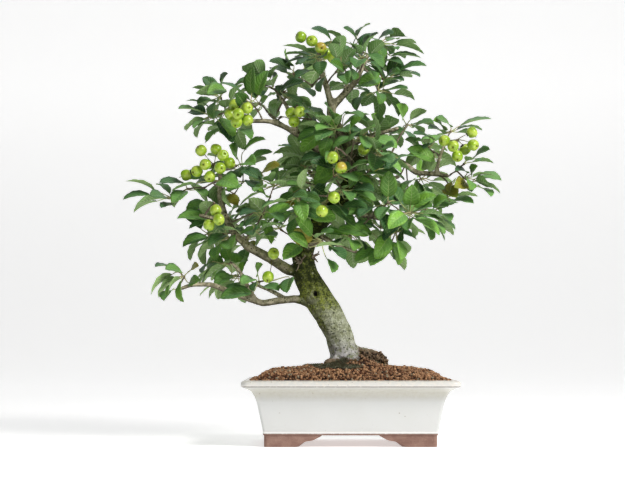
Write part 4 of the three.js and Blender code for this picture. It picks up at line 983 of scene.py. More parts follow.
def blade_points(leaf, draw):
    """The blade's points, above and below, and the marks that its finish reads."""
    t = (np.arange(ROWS + 1) / ROWS)[:, None]
    s = ACROSS[None, :]
    edge = np.abs(s) ** 3
    tooth = np.where(np.arange(ROWS + 1) % 2 == 0, 1.0, 0.0)[:, None]
    half = leaf["width"] / 2 * outline(t)
    half = np.maximum(half, np.where(t < 0.5, *LEAST_HALF))
    relief = np.minimum(1, half / FULL_RELIEF_FROM)
    reach = s * (half - (1 - tooth) * edge * TOOTH_DEPTH * relief)
    forward = t + tooth * edge * TOOTH_LEAN / ROWS * (t > TOOTHED[0]) * (t < TOOTHED[1])
    veins = SIDE_VEINS * t - VEINS_FORWARD * np.abs(s) ** VEINS_CURVE
    puff = PUFF * np.cos(2 * math.pi * veins + math.pi) * 4 * np.abs(s) * (1 - np.abs(s))
    phase = draw.uniform(2, 4) * t + draw.random() + 0.3 * np.sign(s)
    ripple = RIPPLE * edge * np.sin(2 * math.pi * phase)
    rise = blade_rise(leaf, t, s) + (puff + ripple) * relief
    middle = placed(leaf, forward, reach, rise)
    thick = HALF_THICKNESS * (1 - THIN_EDGE * np.abs(s)) + 0 * t
    rib = MIDRIB_DEPTH * (s == 0) * (1 - t) ** RIB_FADES
    top = middle + (thick - RIB_ABOVE * rib)[..., None] * leaf["up"]
    under = middle - (thick + rib)[..., None] * leaf["up"]
    marks = np.stack([t + 0 * s, s + 0 * t, np.full_like(rise, leaf["tint"])], -1).reshape(-1, 3)
    return np.concatenate([top.reshape(-1, 3), under.reshape(-1, 3)]), np.concatenate([marks, marks])


def petiole_path(leaf):
    """A stalk's line: it leaves the knob squarely and runs into the midrib."""
    along = axes(leaf)[1]
    span = np.linalg.norm(leaf["base"] - leaf["root"])
    path = bend(leaf["root"] - leaf["facing"] * 0.8, leaf["root"] + leaf["facing"] * span * 0.35,
                leaf["base"] - along * span * 0.4, leaf["base"] + along * 2.5, 6)
    path[-1] += leaf["up"] * (4 * leaf["arch"] * 2.5 - 0.1)
    return path


def petiole(leaf):
    return tube(petiole_path(leaf), PETIOLE_RADII, 5)


def add_leaf(parts, leaf, draw):
    points, marks = blade_points(leaf, draw)
    parts.add(points, BLADE_FACES, BLADE_FINISHES, marks)
    points, faces = petiole(leaf)
    parts.add(points, faces, PETIOLE, (0, 0, leaf["tint"]))


# %% [markdown]
# Twigs and spurs start as the solids' own stems. A subdivision surface rounds them, and a little noise
# along the surface gives them the knobbly look of old fruiting wood.

# %% Rounded twigs
def add_twigs(parts, points, stems, seed, finish_number=TWIG):
    found, rings, normals = refined(points, stems, SUBSURF={"levels": 2})
    rough = 0.35 + 0.35 * bumps(found, 3.0, seed) + 0.15 * bumps(found, 1.2, seed + 1)
    parts.add(found + normals * rough[:, None], rings, finish_number)


# %% [markdown]
# The solids hold the main leaves. A real crown is fuller, so more leaves grow from the same knobs, up to ten
# from one, within the room of their spray. Each new leaf is tried in a random way that faces the light, and
# kept only if its blade and its petiole cross no other leaf, no apple and no wood. Rough two-layered blades
# are enough for that test.

# %% What already fills the crown
TEST_ROWS = np.array([0, 0.12, 0.35, 0.65, 0.88, 1])[:, None]
TEST_ACROSS = np.array([-1.0, 0, 1.0])[None, :]
TEST_GAP = 0.9
TEST_LEAST_HALF = 0.4
TEST_REACH = 6
PETIOLE_GAP = 1.1


def test_body(leaf):
    """A rough copy of a leaf, a little thicker than the leaf itself, with its petiole."""
    rise = blade_rise(leaf, TEST_ROWS, TEST_ACROSS)
    half = np.maximum(leaf["width"] / 2 * outline(TEST_ROWS), TEST_LEAST_HALF)
    middle = placed(leaf, TEST_ROWS + 0 * TEST_ACROSS, TEST_ACROSS * half, rise)
    layers = [middle + side * TEST_GAP * leaf["up"] for side in (-1, 1)]
    points = np.concatenate([layer.reshape(-1, 3) for layer in layers])
    rows, columns = len(TEST_ROWS), TEST_ACROSS.size
    starts = [(layer * rows + i) * columns + k
              for layer in (0, 1) for i in range(rows - 1) for k in range(columns - 1)]
    faces = [(a, a + 1, a + columns + 1, a + columns) for a in starts]
    stalk, stalk_faces = tube(petiole_path(leaf)[1:-1], [PETIOLE_GAP] * 4, 3)
    faces += [tuple(i + len(points) for i in face) for face in stalk_faces]
    return solid_tree(np.concatenate([points, stalk]), faces)


def middle_of(leaf):
    """The middle of a leaf, and how far from there it and its petiole can reach."""
    return (leaf["base"] + leaf["tip"]) / 2, np.linalg.norm(leaf["tip"] - leaf["root"]) / 2 + TEST_REACH


class Crown:
    """The leaves placed so far, with the wood, the twigs and the apples that they must keep clear of."""
    def __init__(self):
        self.middles, self.reaches, self.bodies = [], [], []
        stems = Parts()
        for name in SPRAYS + BUNCHES:
            stems.add(*read[name][:2], 0)
        self.stems = solid_tree(np.concatenate(stems.points), stems.faces)
        self.apples = np.array([apple["middle"] for n in BUNCHES for apple in read[n][2]])

    def add(self, leaf, body):
        middle, reach = middle_of(leaf)
        self.middles.append(middle)
        self.reaches.append(reach)
        self.bodies.append(body)

    def near(self, place, reach):
        """The numbers of the leaves whose middles are within reach of a place."""
        return np.nonzero(np.linalg.norm(np.array(self.middles) - place, axis=1) < reach)[0]

    def crossed(self, body, place, reach):
        """Whether a body crosses a twig, or a leaf within reach of a place."""
        return self.stems.overlap(body) or any(self.bodies[i].overlap(body) for i in self.near(place, reach))

    def meets_apple(self, place, room):
        return np.linalg.norm(self.apples - place, axis=1).min() < FRUIT_RADIUS + room

    def free(self, leaf, body):
        """Whether a leaf crosses nothing."""
        for share in (0.2, 0.5, 0.8):
            place = leaf["base"] + share * (leaf["tip"] - leaf["base"])
            if self.meets_apple(place, leaf["width"] / 2 * outline(share) * 0.8 + 1):
                return False
        middle, reach = middle_of(leaf)
        return not (self.crossed(body, middle, np.array(self.reaches) + reach) or skin.overlap(body))


crown = Crown()
for node_name in SPRAYS:
    for leaf in read[node_name][2]:
        crown.add(leaf, test_body(leaf))
print("leaves in the crown so far:", len(crown.bodies))

# %% More leaves on the same knobs
KNOB_LEAVES = 10
TRIES = 90
SPRAY_ROOM = 7.0
NEW_LENGTHS = (38, 55)
NEW_PETIOLES = (9, 30)
SLENDERNESS = (0.57, 0.7)
ARCHES = (0.05, 0.12)
FOLDS = (0.16, 0.4)
WAVE = 1.2
BARE_TRUNK = ((-115, 30), 340)
EDGE_ROOM = 2.0
TOP_SHADE_HEIGHTS = (520, 660)
TOP_SHADE_DARKENS = 0.55
FOLIAGE_REACH = 40
SPRAY_SEED = 1000
crown_low = np.array(cad_low) / MM + EDGE_ROOM
crown_high = np.array(cad_high) / MM - EDGE_ROOM
CROWN_MIDDLE = np.mean([leaf["base"] for n in SPRAYS for leaf in read[n][2]], axis=0)


def knobs_of(leaves):
    """The middles of the knobs that these leaves grow from, each with its count of leaves."""
    found = []
    for leaf in leaves:
        middle = leaf["root"] - leaf["facing"] * KNOB_INNER_RADIUS
        known = next((k for k in found if np.linalg.norm(k[0] - middle) < 1), None)
        if known:
            known[1] += 1
        else:
            found.append([middle, 1])
    return found


def before_trunk(leaf):
    """Whether a leaf hangs round the lower trunk, which growers keep bare."""
    (left, right), top = BARE_TRUNK
    return any(left < end[0] < right and end[2] < top for end in (leaf["base"], leaf["tip"]))


def drawn_leaf(knob, draw):
    """A leaf that could grow from a knob: outwards from the crown, drooping, with its face to the light."""
    outward = unit((knob - CROWN_MIDDLE) * [1, 1, 0.3])
    sideways = np.cross(outward, [0, 0, 1])
    along = unit(outward * draw.uniform(-0.4, 1) + sideways * draw.uniform(-1, 1)
                 + np.array([0, 0, 1]) * draw.uniform(-0.75, 0.3))
    facing = unit(along * [1, 1, 0.4] + draw.normal(0, 0.15, 3) + [0, 0, 0.25])
    length = draw.uniform(*NEW_LENGTHS)
    width = length * draw.uniform(*SLENDERNESS)
    light = np.array([0, 0, 0.85]) + outward * draw.uniform(0.1, 0.9) + draw.normal(0, 0.2, 3)
    up = unit(light - along * (light @ along))
    fold = draw.uniform(*FOLDS) * width / 2
    lifts = {(side, step): fold + draw.uniform(-WAVE, WAVE) for side in (-1, 1) for step in EDGE_STEPS}
    root = knob + facing * KNOB_INNER_RADIUS * 0.9
    base = root + unit(facing + along) * draw.uniform(*NEW_PETIOLES)
    return {"base": base, "tip": base + along * length, "up": up, "width": width,
            "arch": draw.uniform(*ARCHES), "lifts": lifts, "root": root, "facing": facing}


def grown_from(knob, low, high, most, draw, company=0):
    """Up to that many of the leaves tried on a knob: those inside a box that cross nothing, in company."""
    grown = []
    for _ in range(TRIES):
        if len(grown) >= most:
            break
        leaf = drawn_leaf(knob, draw)
        ends = np.array([leaf["base"], leaf["tip"]])
        if (ends < low).any() or (ends > high).any() or before_trunk(leaf):
            continue
        body = test_body(leaf)
        if company <= len(crown.near(leaf["tip"], FOLIAGE_REACH)) and crown.free(leaf, body):
            crown.add(leaf, body)
            grown.append(leaf)
    return grown


def more_leaves(leaves, draw):
    """New leaves for a spray, within the room that its own leaves take."""
    ends = np.array([leaf[end] for leaf in leaves for end in ("base", "tip", "root")])
    low = np.maximum(ends.min(0) - SPRAY_ROOM, crown_low)
    high = np.minimum(ends.max(0) + SPRAY_ROOM, crown_high)
    return [leaf for knob, count in knobs_of(leaves)
            for leaf in grown_from(knob, low, high, KNOB_LEAVES - count, draw)]


def tinted(grown, draw):
    """A tint for each leaf: at random, and darker near the top of the crown, as painted shade."""
    low, high = TOP_SHADE_HEIGHTS
    for leaf in grown:
        # Painted shade: the higher a leaf grows towards the top of the crown, the darker its green.
        blush_side_or_top_shade = np.clip((leaf["base"][2] - low) / (high - low), 0, 1)
        leaf["tint"] = draw.random() * (1 - TOP_SHADE_DARKENS * blush_side_or_top_shade)
    return grown


def make_spray(node_name, number):
    points, stems, leaves = read[node_name]
    draw = np.random.default_rng(SPRAY_SEED + number)
    new = more_leaves(leaves, draw)
    parts = Parts()
    for leaf in tinted(leaves + new, draw):
        add_leaf(parts, leaf, draw)
    add_twigs(parts, points, stems, number)
    parts.piece("spray_" + node_name, LEAF_LOOKS, [node_name], "leaf")
    return len(new)


added = [make_spray(node_name, number) for number, node_name in enumerate(SPRAYS)]
print("sprays made:", len(SPRAYS), "new leaves:", sum(added))

# %% [markdown]
# Old branches also push short shoots straight from their bark, and these fill the middle of the crown. Each
# starts at a random place on a branch, ends in a knob, and is kept only if it crosses nothing, has other
# leaves round it, and finds room for at least two leaves of its own.

# %% Short shoots on the branches
SHOOT_SEED = 31
SHOOTS = 38
SHOOT_PIECES = 3
SHOOT_TRIES = 900
SHOOT_WOOD = (6.5, 40)
SHOOT_HEIGHTS = (SOIL_TOP + 150, 540)
SHOOT_LENGTHS = (12, 50)
SHOOT_RADII = (2.6, 1.9, 1.5, 1.4, 1.3, 1.5, 2.3, 1.6)
SHOOT_LEAVES = 6
LEAST_LEAVES = 2
COMPANY = 3
COMPANY_REACH = 58
SHOOT_REACH = 90
CROWN_MARGIN = 20
APPLE_ROOM = 8


def drawn_shoot(draw, places):
    """A short curved twig from the bark, or None where it would stand alone or cross something."""
    spot = int(draw.choice(places))
    start, out = skin_points[spot], skin_out[spot]
    way = unit(out + draw.normal(0, 0.35, 3) + [0, 0, 0.35])
    end = start + way * draw.uniform(*SHOOT_LENGTHS)
    outside = (end < crown_low + CROWN_MARGIN).any() or (end > crown_high - CROWN_MARGIN).any()
    if outside or len(crown.near(end, COMPANY_REACH)) < COMPANY or crown.meets_apple(end, APPLE_ROOM):
        return None
    path = bend(start - out * 1.5, start + out * 5, end - unit(way + [0, 0, 0.6]) * 6, end, len(SHOOT_RADII))
    body = solid_tree(*tube(path[2:], [2.0] * 6, 4))
    return None if skin.overlap(body) or crown.crossed(body, end, SHOOT_REACH) else path


def make_shoots():
    draw = np.random.default_rng(SHOOT_SEED)
    groups, made, leaves = [Parts() for _ in range(SHOOT_PIECES)], 0, 0
    heights = skin_points[:, 2]
    places = np.nonzero((thick > SHOOT_WOOD[0]) & (thick < SHOOT_WOOD[1])
                        & (heights > SHOOT_HEIGHTS[0]) & (heights < SHOOT_HEIGHTS[1]))[0]
    for _ in range(SHOOT_TRIES):
        if made == SHOOTS:
            break
        path = drawn_shoot(draw, places)
        if path is None:
            continue
        grown = grown_from(path[-1], crown_low, crown_high, SHOOT_LEAVES, draw, 1)
        if len(grown) < LEAST_LEAVES:
            continue
        parts = groups[made % SHOOT_PIECES]
        twig, faces = tube(path, SHOOT_RADII, 7)
        twig += 0.25 * bumps(twig, 2.5, made)[:, None]
        parts.add(twig, faces, TWIG)
        for leaf in tinted(grown, draw):
            add_leaf(parts, leaf, draw)
        made, leaves = made + 1, leaves + len(grown)
    print("shoots:", made, "with leaves:", leaves)
    for number, parts in enumerate(groups):
        parts.piece("short_shoots_" + str(number + 1), LEAF_LOOKS, [], "leaf")


make_shoots()

# %% [markdown]
# Where fruit was picked year after year, a branch carries an old spur: a tangle of short, crooked, knobbly
# twigs, some of them dead. Each twig of a spur is a walk of a few steps that turns at random.

# %% Old spurs
SPURS_AT = ((319, 259), (313, 258), (366, 150), (352, 165), (300, 262), (262, 246), (398, 209), (283, 214),
            (345, 172), (415, 160), (205, 262), (330, 120))
SPUR_SEED = 53
SPUR_TWIGS = 7
SPUR_RADII = (2.0, 1.5, 1.2, 1.3, 1.1, 1.2)
SPUR_STEP = (2.5, 5.0)
SPUR_REACH = 60
SPUR_ROOM = 4


def crooked(start, out, draw):
    """The path of one twig of a spur."""
    path, way = [start - out * 2], unit(out + draw.normal(0, 0.5, 3))
    for _ in SPUR_RADII[1:]:
        path.append(path[-1] + way * draw.uniform(*SPUR_STEP))
        way = unit(way + draw.normal(0, 0.55, 3))
    return np.array(path)


def make_spurs():
    draw = np.random.default_rng(SPUR_SEED)
    parts, made = Parts(), 0
    for px, py in SPURS_AT:
        place, out = seen_on(skin, px, py)
        if place is None:
            continue
        for _ in range(SPUR_TWIGS):
            path = crooked(np.array(place) + draw.normal(0, 2.0, 3), np.array(out), draw)
            body = solid_tree(*tube(path[2:], [1.6] * len(path[2:]), 4))
            if crown.meets_apple(path[-1], SPUR_ROOM) or crown.crossed(body, path[-1], SPUR_REACH):
                continue
            twig, faces = tube(path, SPUR_RADII, 6)
            parts.add(twig + 0.35 * bumps(twig, 2.0, made)[:, None], faces, 0)
            made += 1
    print("twigs of old spurs:", made)
    parts.piece("old_spurs", [twig_bark()], [], "bark")


make_spurs()

# %% [markdown]
# These apples are small, glossy and yellow-green, with pale dots and now and then a blush. The blossom end
# is a shallow basin in which five dried sepals stand round dark, withered stamens; the basin is painted
# nearly black as shade, with a pale ring painted on its lip as a highlight. The stalk end is a deeper
# hollow. Each apple is turned on a lathe, so to speak, from one profile, then made a little uneven.

# %% Apple finishes
def apple_skin():
    look = Finish("apple_skin")
    hollow, blush_side_or_top_shade, ripe = look.marks()
    cloud, streaks = look.noise(0.012), look.noise(0.003)
    red = coats((208, 178, 70), (streaks.ramp(0.4, 0.6), (178, 108, 50)))
    dots = look.specks(0.0024, 0.22, 0.6)
    green = coats((138, 176, 28),
                  (cloud.ramp(0.35, 0.65), (192, 214, 80)),
                  # Painted highlight: a pale ring on the lip of the blossom basin.
                  (hollow.ramp(0, 0.2, 0, 0.55), (216, 232, 152)),
                  # Painted shade: the blossom basin, nearly black.
                  (hollow.ramp(0.2, 0.52, 0, 0.97), (18, 20, 8)),
                  (ripe * (blush_side_or_top_shade + cloud * 0.8).ramp(0.55, 1.05) * 0.65, red),
                  (dots * 0.5, (214, 222, 150)),
                  (look.specks(0.009, 0.22, 0.2) * 0.7, (104, 84, 44)))
    return look.done(green, cloud.ramp(0.3, 0.7, 0.28, 0.4), cloud + dots, 0.00015, 0.7,
                     {"Coat Weight": 0.35, "Coat Roughness": 0.12})


def dry_sepal():
    look = Finish("dry_sepal")
    fine = look.noise(0.0012)
    return look.done(coats((12, 10, 6), (fine.ramp(0.35, 0.65), (46, 38, 24))), 0.9, fine, 0.0006)


def stalk_skin():
    look = Finish("stalk_skin")
    patch, cloud = look.patches(0.006, 0.15)
    return look.done(coats((122, 132, 58), (patch, (112, 78, 46))), 0.6, cloud, 0.0005)


FRUIT_LOOKS = [apple_skin(), dry_sepal(), stalk_skin(), LEAF_LOOKS[TWIG]]
SKIN, SEPAL, STALK, FRUIT_TWIG = range(4)
print("finishes of a bunch:", [look.name for look in FRUIT_LOOKS])

# %% One apple
APPLE_PROFILE = ((0, -0.6), (0.09, -0.66), (0.17, -0.78), (0.28, -0.86), (0.44, -0.87), (0.64, -0.79),
                 (0.83, -0.62), (0.95, -0.38), (1, -0.12), (0.99, 0.13), (0.91, 0.45), (0.76, 0.7),
                 (0.55, 0.83), (0.36, 0.83), (0.22, 0.74), (0.1, 0.66), (0, 0.64))
APPLE_SIDES = 20
APPLE_LEAN = 0.05
RIBS_HIGH = 0.018
OVAL = 0.02
BASIN_LIGHT_AND_SHADE = 0.7
SUNNY = unit(np.array([0.35, -0.75, 0.55]))
BLUSHED = ((320, 46), (330.5, 34.7), (340.2, 37.4), (340.2, 168.3), (206.2, 181.2))


def facing_pair(axis):
    """Two directions square to an axis and to each other."""
    side = unit(np.cross(axis, [0.3, -0.9, 0.2]))
    return side, np.cross(axis, side)


def blush_of(middle):
    """How ripe an apple is: a few, known by where they are seen, have a blush."""
    misses = [np.linalg.norm(np.cross(middle - EYE, sight(px, py))) for px, py in BLUSHED]
    return 1.0 if min(misses) < FRUIT_RADIUS * 0.9 else 0.0


def add_apple(parts, apple, draw):
    """An apple turned from its profile, with five faint ribs, a little oval and leaning."""
    axis, middle = apple["axis"], apple["middle"]
    side, other = facing_pair(axis)
    angles = turns(APPLE_SIDES)
    lean = draw.uniform(-APPLE_LEAN, APPLE_LEAN, 2)[0]
    flute = 1 + RIBS_HIGH * np.cos(5 * angles + draw.random() * 6)
    flute += OVAL * np.cos(2 * angles + draw.random() * 6)
    ripe = blush_of(middle)
    rings, marks = [], []
    for radius, height in APPLE_PROFILE[1:-1]:
        ring = round_about(side, other, angles) * radius * flute[:, None] * (1 + lean * height)
        rings.append(ring + axis * height)
        # How far into the blossom basin this ring lies, for the painted highlight and shade there.
        hollow = max(0.0, 1 - radius / BASIN_LIGHT_AND_SHADE) if height > 0 else 0.0
        marks.append([(hollow, direction @ SUNNY, ripe) for direction in unit(rings[-1])])
    start, end = ([axis * height] for _, height in (APPLE_PROFILE[0], APPLE_PROFILE[-1]))
    points = middle + FRUIT_RADIUS * np.concatenate([start, *rings, end])
    marks = np.concatenate([[(0, 0, 0)], *marks, [(1, 0, ripe)]])
    parts.add(points, lathe_faces(len(rings), APPLE_SIDES), SKIN, marks)
    add_calyx(parts, middle, axis, side, other, draw)
    add_stalk(parts, apple)


# %% The dried flower and the stalk
BUNCH_SEED = 2000
SEPALS = 5
SEPAL_RADII = (1.1, 1.5, 1.3, 0.8, 0.15)
SEPAL_LENGTHS = (4.2, 5.8)
SEPAL_TIPS = (3.4, 4.6)
STAMENS = 9
STAMEN_RADII = (0.36, 0.28)
STAMEN_TIPS = (2.0, 3.6)
BASIN_FLOOR = 0.6
STALK_RADII = (0.85, 0.6, 0.55, 0.55, 0.55, 0.6, 0.65, 0.8, 1.1)


def add_calyx(parts, middle, axis, side, other, draw):
    """Five dried sepals that curl outwards round a tuft of withered stamens."""
    floor = middle + axis * BASIN_FLOOR * FRUIT_RADIUS
    for k in range(SEPALS):
        turn = (k + draw.uniform(-0.15, 0.15)) / SEPALS * 2 * math.pi
        out = math.cos(turn) * side + math.sin(turn) * other
        length = draw.uniform(*SEPAL_LENGTHS)
        path = bend(floor + out * 0.7, floor + out * 1.2 + axis * 2.6, floor + out * 2.2 + axis * 4.0,
                    floor + out * length * 0.8 + axis * draw.uniform(*SEPAL_TIPS), len(SEPAL_RADII))
        parts.add(*tube(path, SEPAL_RADII, 4), SEPAL)
    for _ in range(STAMENS):
        turn = draw.random() * 2 * math.pi
        out = math.cos(turn) * side + math.sin(turn) * other
        end = floor + out * 0.7 + axis * draw.uniform(*STAMEN_TIPS)
        path = np.array([floor + out * 0.3 - axis * 0.3, end])
        parts.add(*tube(path, STAMEN_RADII, 3), SEPAL)


def add_stalk(parts, apple):
    """A thin stalk from deep in the apple's hollow to the knob that it hangs from."""
    start = apple["middle"] - apple["axis"] * 0.62 * FRUIT_RADIUS
    end = apple["root"] - apple["facing"] * 0.8
    span = np.linalg.norm(end - start)
    leaving = start - apple["axis"] * span * 0.5
    arriving = apple["root"] + apple["facing"] * span * 0.3
    parts.add(*tube(bend(start, leaving, arriving, end, len(STALK_RADII)), STALK_RADII, 6), STALK)


def make_bunch(node_name, number):
    points, stems, apples = read[node_name]
    draw = np.random.default_rng(BUNCH_SEED + number)
    parts = Parts()
    for apple in apples:
        add_apple(parts, apple, draw)
    add_twigs(parts, points, stems, 100 + number, FRUIT_TWIG)
    return parts.piece("bunch_" + node_name, FRUIT_LOOKS, [node_name], "fruit")


for number, node_name in enumerate(BUNCHES):
    make_bunch(node_name, number)
print("bunches made:", len(BUNCHES))

# %% [markdown]
# The soil is fired clay in granules of three to six millimetres, reddish brown, with dark gaps between them
# and a few pale or tan ones. Under the granules lies a surface painted nearly black: painted shade in the
# gaps, so that they look deep. The granules are set in rows on a triangular grid and then shaken, each with
# its own shape and tint.

# %% Soil finishes
PALE_KIND = 0.955
BURNT_KIND = 0.05


def gap_shade_soil():
    look = Finish("gap_shade_soil")
    # Painted shade: the surface under the granules is nearly black, as the gaps between them.
    cloud = look.noise(0.004)
    return look.done(coats((30, 18, 12), (cloud.ramp(0.35, 0.65), (70, 44, 30))), 0.97, cloud, 0.002)


def granule():
    look = Finish("clay_granule")
    shade, kind, old = look.marks()
    fine = look.noise(0.0011)
    clay = coats((106, 60, 34),
                 (shade, (254, 198, 148)),
                 (kind > PALE_KIND, (204, 190, 160)),
                 (kind < BURNT_KIND, (58, 46, 38)),
                 (fine.ramp(0.35, 0.6, 0.5, 0), (66, 38, 26)),
                 (look.patches(0.03)[0] * 0.2, (72, 42, 28)),
                 (old * 0.85, coats((30, 27, 20), (shade, (140, 118, 94)))))
    return look.done(clay, 0.95, fine, 0.0012)


def moss():
    look = Finish("moss")
    shade, cloud = look.marks()[0], look.noise(0.012)
    green = coats((38, 42, 30), (shade, (150, 154, 124)), (cloud.ramp(0.35, 0.6), (66, 62, 38)))
    return look.done(green, 0.95, cloud, 0.0006)


SOIL_LOOKS = [gap_shade_soil(), granule(), moss()]
GAP_SHADE, GRANULE, MOSS = range(3)
print("finishes of the soil:", [look.name for look in SOIL_LOOKS])

# %% The soil's surface
SOIL_SINK = 1.3
SOIL_FLAT = 100
SPACING = 4.2
SHAKE = 1.2
GRANULE_RADII = (1.7, 2.9)
ROW_SHARE = 0.866
LUMP_DENTS = (0.72, 1.18)
LUMP_STRETCH = (0.78, 1.15)
ROOT_CLEARANCE = 0.6
HEAP_PLACE = (14, -22)
HEAP_HEIGHT = 14
HEAP_LEFT = 33
HEAP_RIGHT = 30
HEAP_DEPTH = 24
BANK_RISE = 8.5
BANK_PEAK = 26
RIM_WIDTH = 18
SPILL_WIDTH = 6
SPILL_SHARE = 0.75
POT_HALF = ((pot_high.x - pot_low.x) / 2 / MM, (pot_high.y - pot_low.y) / 2 / MM)

soil_points, soil_triangles = welded("soil")
soil_solid = solid_tree(soil_points, soil_triangles)
HIGH = cad_high.z / MM


def heap(x, y):
    """The old roots: a low heap against the front of the trunk's foot that slopes off to both sides."""
    across, back = x - TRUNK_FOOT[0] - HEAP_PLACE[0], y - TRUNK_FOOT[1] - HEAP_PLACE[1]
    wide = HEAP_LEFT if across < 0 else HEAP_RIGHT
    return HEAP_HEIGHT * math.exp(-(across / wide) ** 2 - (back / HEAP_DEPTH) ** 2)


def from_wall(x, y):
    """How far a place is from the inner edge of the pot's rim."""
    return min(POT_HALF[0] - abs(x - POT_MIDDLE[0]), POT_HALF[1] - abs(y - POT_MIDDLE[1])) - RIM_WIDTH


def rise(x, y):
    """How far the ground stands above the solid: the heap, and a bank of granules at each end of the pot."""
    run, back = (max(0.0, half - abs(here - middle) - RIM_WIDTH) / BANK_PEAK
                 for half, here, middle in zip(POT_HALF, (x, y), POT_MIDDLE))
    return heap(x, y) + BANK_RISE * run * math.exp(1 - run) * min(1.0, back)


def on_soil(x, y):
    """The soil's surface there and the way it faces, the rim's top just beside it, or None farther out."""
    hit = soil_solid.ray_cast(Vector((x, y, HIGH)), Vector((0, 0, -1)))
    if hit[0] is None and from_wall(x, y) > -SPILL_WIDTH:
        return np.array([x, y, pot_high.z / MM]), np.array([0, 0, 1.0])
    if hit[0] is None:
        return None
    return np.array(hit[0]) + [0, 0, rise(x, y)], np.array(hit[1])


def inside_wood(point, room):
    """Whether a point lies in the wood, or nearer to it than the room given."""
    near, normal, _, distance = skin.find_nearest(Vector(point))
    return distance < room or (Vector(point) - near).dot(normal) < 0


# A lump starts as an icosahedron: a point, two rings of five, and a point.
LUMP_TILT = 0.4636
LUMP_ANGLES = ([(0, math.pi / 2)] + [(k * 0.4 * math.pi, LUMP_TILT) for k in range(5)]
               + [((k + 0.5) * 0.4 * math.pi, -LUMP_TILT) for k in range(5)] + [(0, -math.pi / 2)])
LUMP = np.array([(math.cos(a) * math.cos(b), math.sin(a) * math.cos(b), math.sin(b))
                 for a, b in LUMP_ANGLES])
LUMP_FACES = ([(0, 1 + k, 1 + (k + 1) % 5) for k in range(5)]
              + [(1 + k, 6 + k, 1 + (k + 1) % 5) for k in range(5)]
              + [(1 + (k + 1) % 5, 6 + k, 6 + (k + 1) % 5) for k in range(5)]
              + [(11, 6 + (k + 1) % 5, 6 + k) for k in range(5)])


def turned(draw):
    """A random turn, as a matrix."""
    a, b, c = (unit(v) for v in draw.normal(size=(3, 3)))
    b = unit(b - a * (a @ b))
    return np.array([a, b, np.cross(a, b)])


def add_granule(parts, place, radius, mark, draw):
    """A lump with twelve corners, each pushed in or out, stretched and turned at random."""
    shape = LUMP * draw.uniform(*LUMP_DENTS, (len(LUMP), 1)) * draw.uniform(*LUMP_STRETCH, 3)
    parts.add(place + shape @ turned(draw) * radius, LUMP_FACES, GRANULE, mark)


def grid_places(low, high, spacing):
    """The places of a triangular grid over a rectangle."""
    rows = int((high[1] - low[1]) / (spacing * ROW_SHARE)) + 1
    for row in range(rows):
        y = low[1] + row * spacing * ROW_SHARE
        for x in np.arange(low[0] + (row % 2) * spacing / 2, high[0], spacing):
            yield x, y


# %% Where moss grows
MOSS_PATCHES = (((-44, -56), (10, -62), 12), ((-50, -34), (-14, -40), 15), ((30, -6), (70, -4), 14),
                ((-74, -14), (-40, -30), 8))


def mossy(point):
    """How mossy the ground is there, from 0 to 1: in a few patches round the trunk's foot."""
    place = (point - TRUNK_FOOT)[:2]
    most = 0.0
    for start, end, width in MOSS_PATCHES:
        start, way = np.array(start), np.subtract(end, start)
        run = np.clip((place - start) @ way / (way @ way), 0, 1)
        most = max(most, 1 - np.linalg.norm(place - start - run * way) / width)
    return min(1.0, most * 2.5)


# %% Granules and moss on the ground
SOIL_SEED = 7
TUFT_SPACING = 2.2
TUFT_SHAKE = 0.8
TUFT_HEIGHT = 3.0
TUFT_FOOT = 1.0
TUFT_SHOOTS = 4
SMALL_SHARE = 0.15
SMALL_SIZE = 0.7
MOSSY_PLACE = 0.65
CRUMBLED_SHARE = 0.6
CRUMBLED_SIZE = 0.6
OLD_ON_HEAP = 0.75
CRUMBS = 380
CRUMB_RADII = (0.8, 3.0)
CRUMBS_FROM = 2
CRUMBS_UP_TO = 34
CRUMBS_WHERE_EARTHY = 0.85


def add_tuft(parts, place, out, height, draw):
    """A tiny tuft of moss: four thin pointed shoots."""
    side, other = facing_pair(out)
    for _ in range(TUFT_SHOOTS):
        lean = side * draw.normal(0, 0.45) + other * draw.normal(0, 0.45)
        foot = place + (side * draw.normal() + other * draw.normal()) * 0.6 - out * 0.6
        end = foot + unit(out + lean) * height * draw.uniform(0.7, 1.3)
        wide = unit(np.cross(end - foot, side)) * 0.5
        deep = unit(np.cross(end - foot, wide)) * 0.4
        points = [foot + wide, foot - wide * 0.5 + deep, foot - wide * 0.5 - deep, end]
        shade = draw.beta(0.7, 2.2)
        marks = [(shade, 0, 0)] * 3 + [(min(1, shade + 0.45), 0, 0)]
        parts.add(points, [(0, 2, 1), (0, 1, 3), (1, 2, 3), (2, 0, 3)], MOSS, np.array(marks))


def gap_shade_surface():
    """The soil's body under the granules: the solid, cut finer and raised as far as the granules are."""
    found, faces, _ = refined(soil_points, soil_triangles, SUBSURF={"levels": 1})
    raised = np.array([rise(x, y) if z > SOIL_FLAT else 0 for x, y, z in found])
    return found + (raised - SOIL_SINK)[:, None] * [0, 0, 1], faces


def add_crumbs(parts, draw):
    """Crumbs of old soil that cling to the lump of roots at the trunk's foot: how many were set."""
    above = skin_points[:, 2] - SOIL_TOP
    clear = (above > CRUMBS_FROM) & (above < CRUMBS_UP_TO)
    places = np.nonzero((earthy(skin_points) > CRUMBS_WHERE_EARTHY) & clear)[0]
    for spot in draw.choice(places, min(CRUMBS, len(places)), replace=False):
        tint, kind = draw.random(), draw.random()
        radius = draw.uniform(*CRUMB_RADII)
        place = skin_points[spot] + skin_out[spot] * radius * draw.uniform(-0.4, 0.5)
        add_granule(parts, place, radius, (tint, kind, 1), draw)
    return min(CRUMBS, len(places))


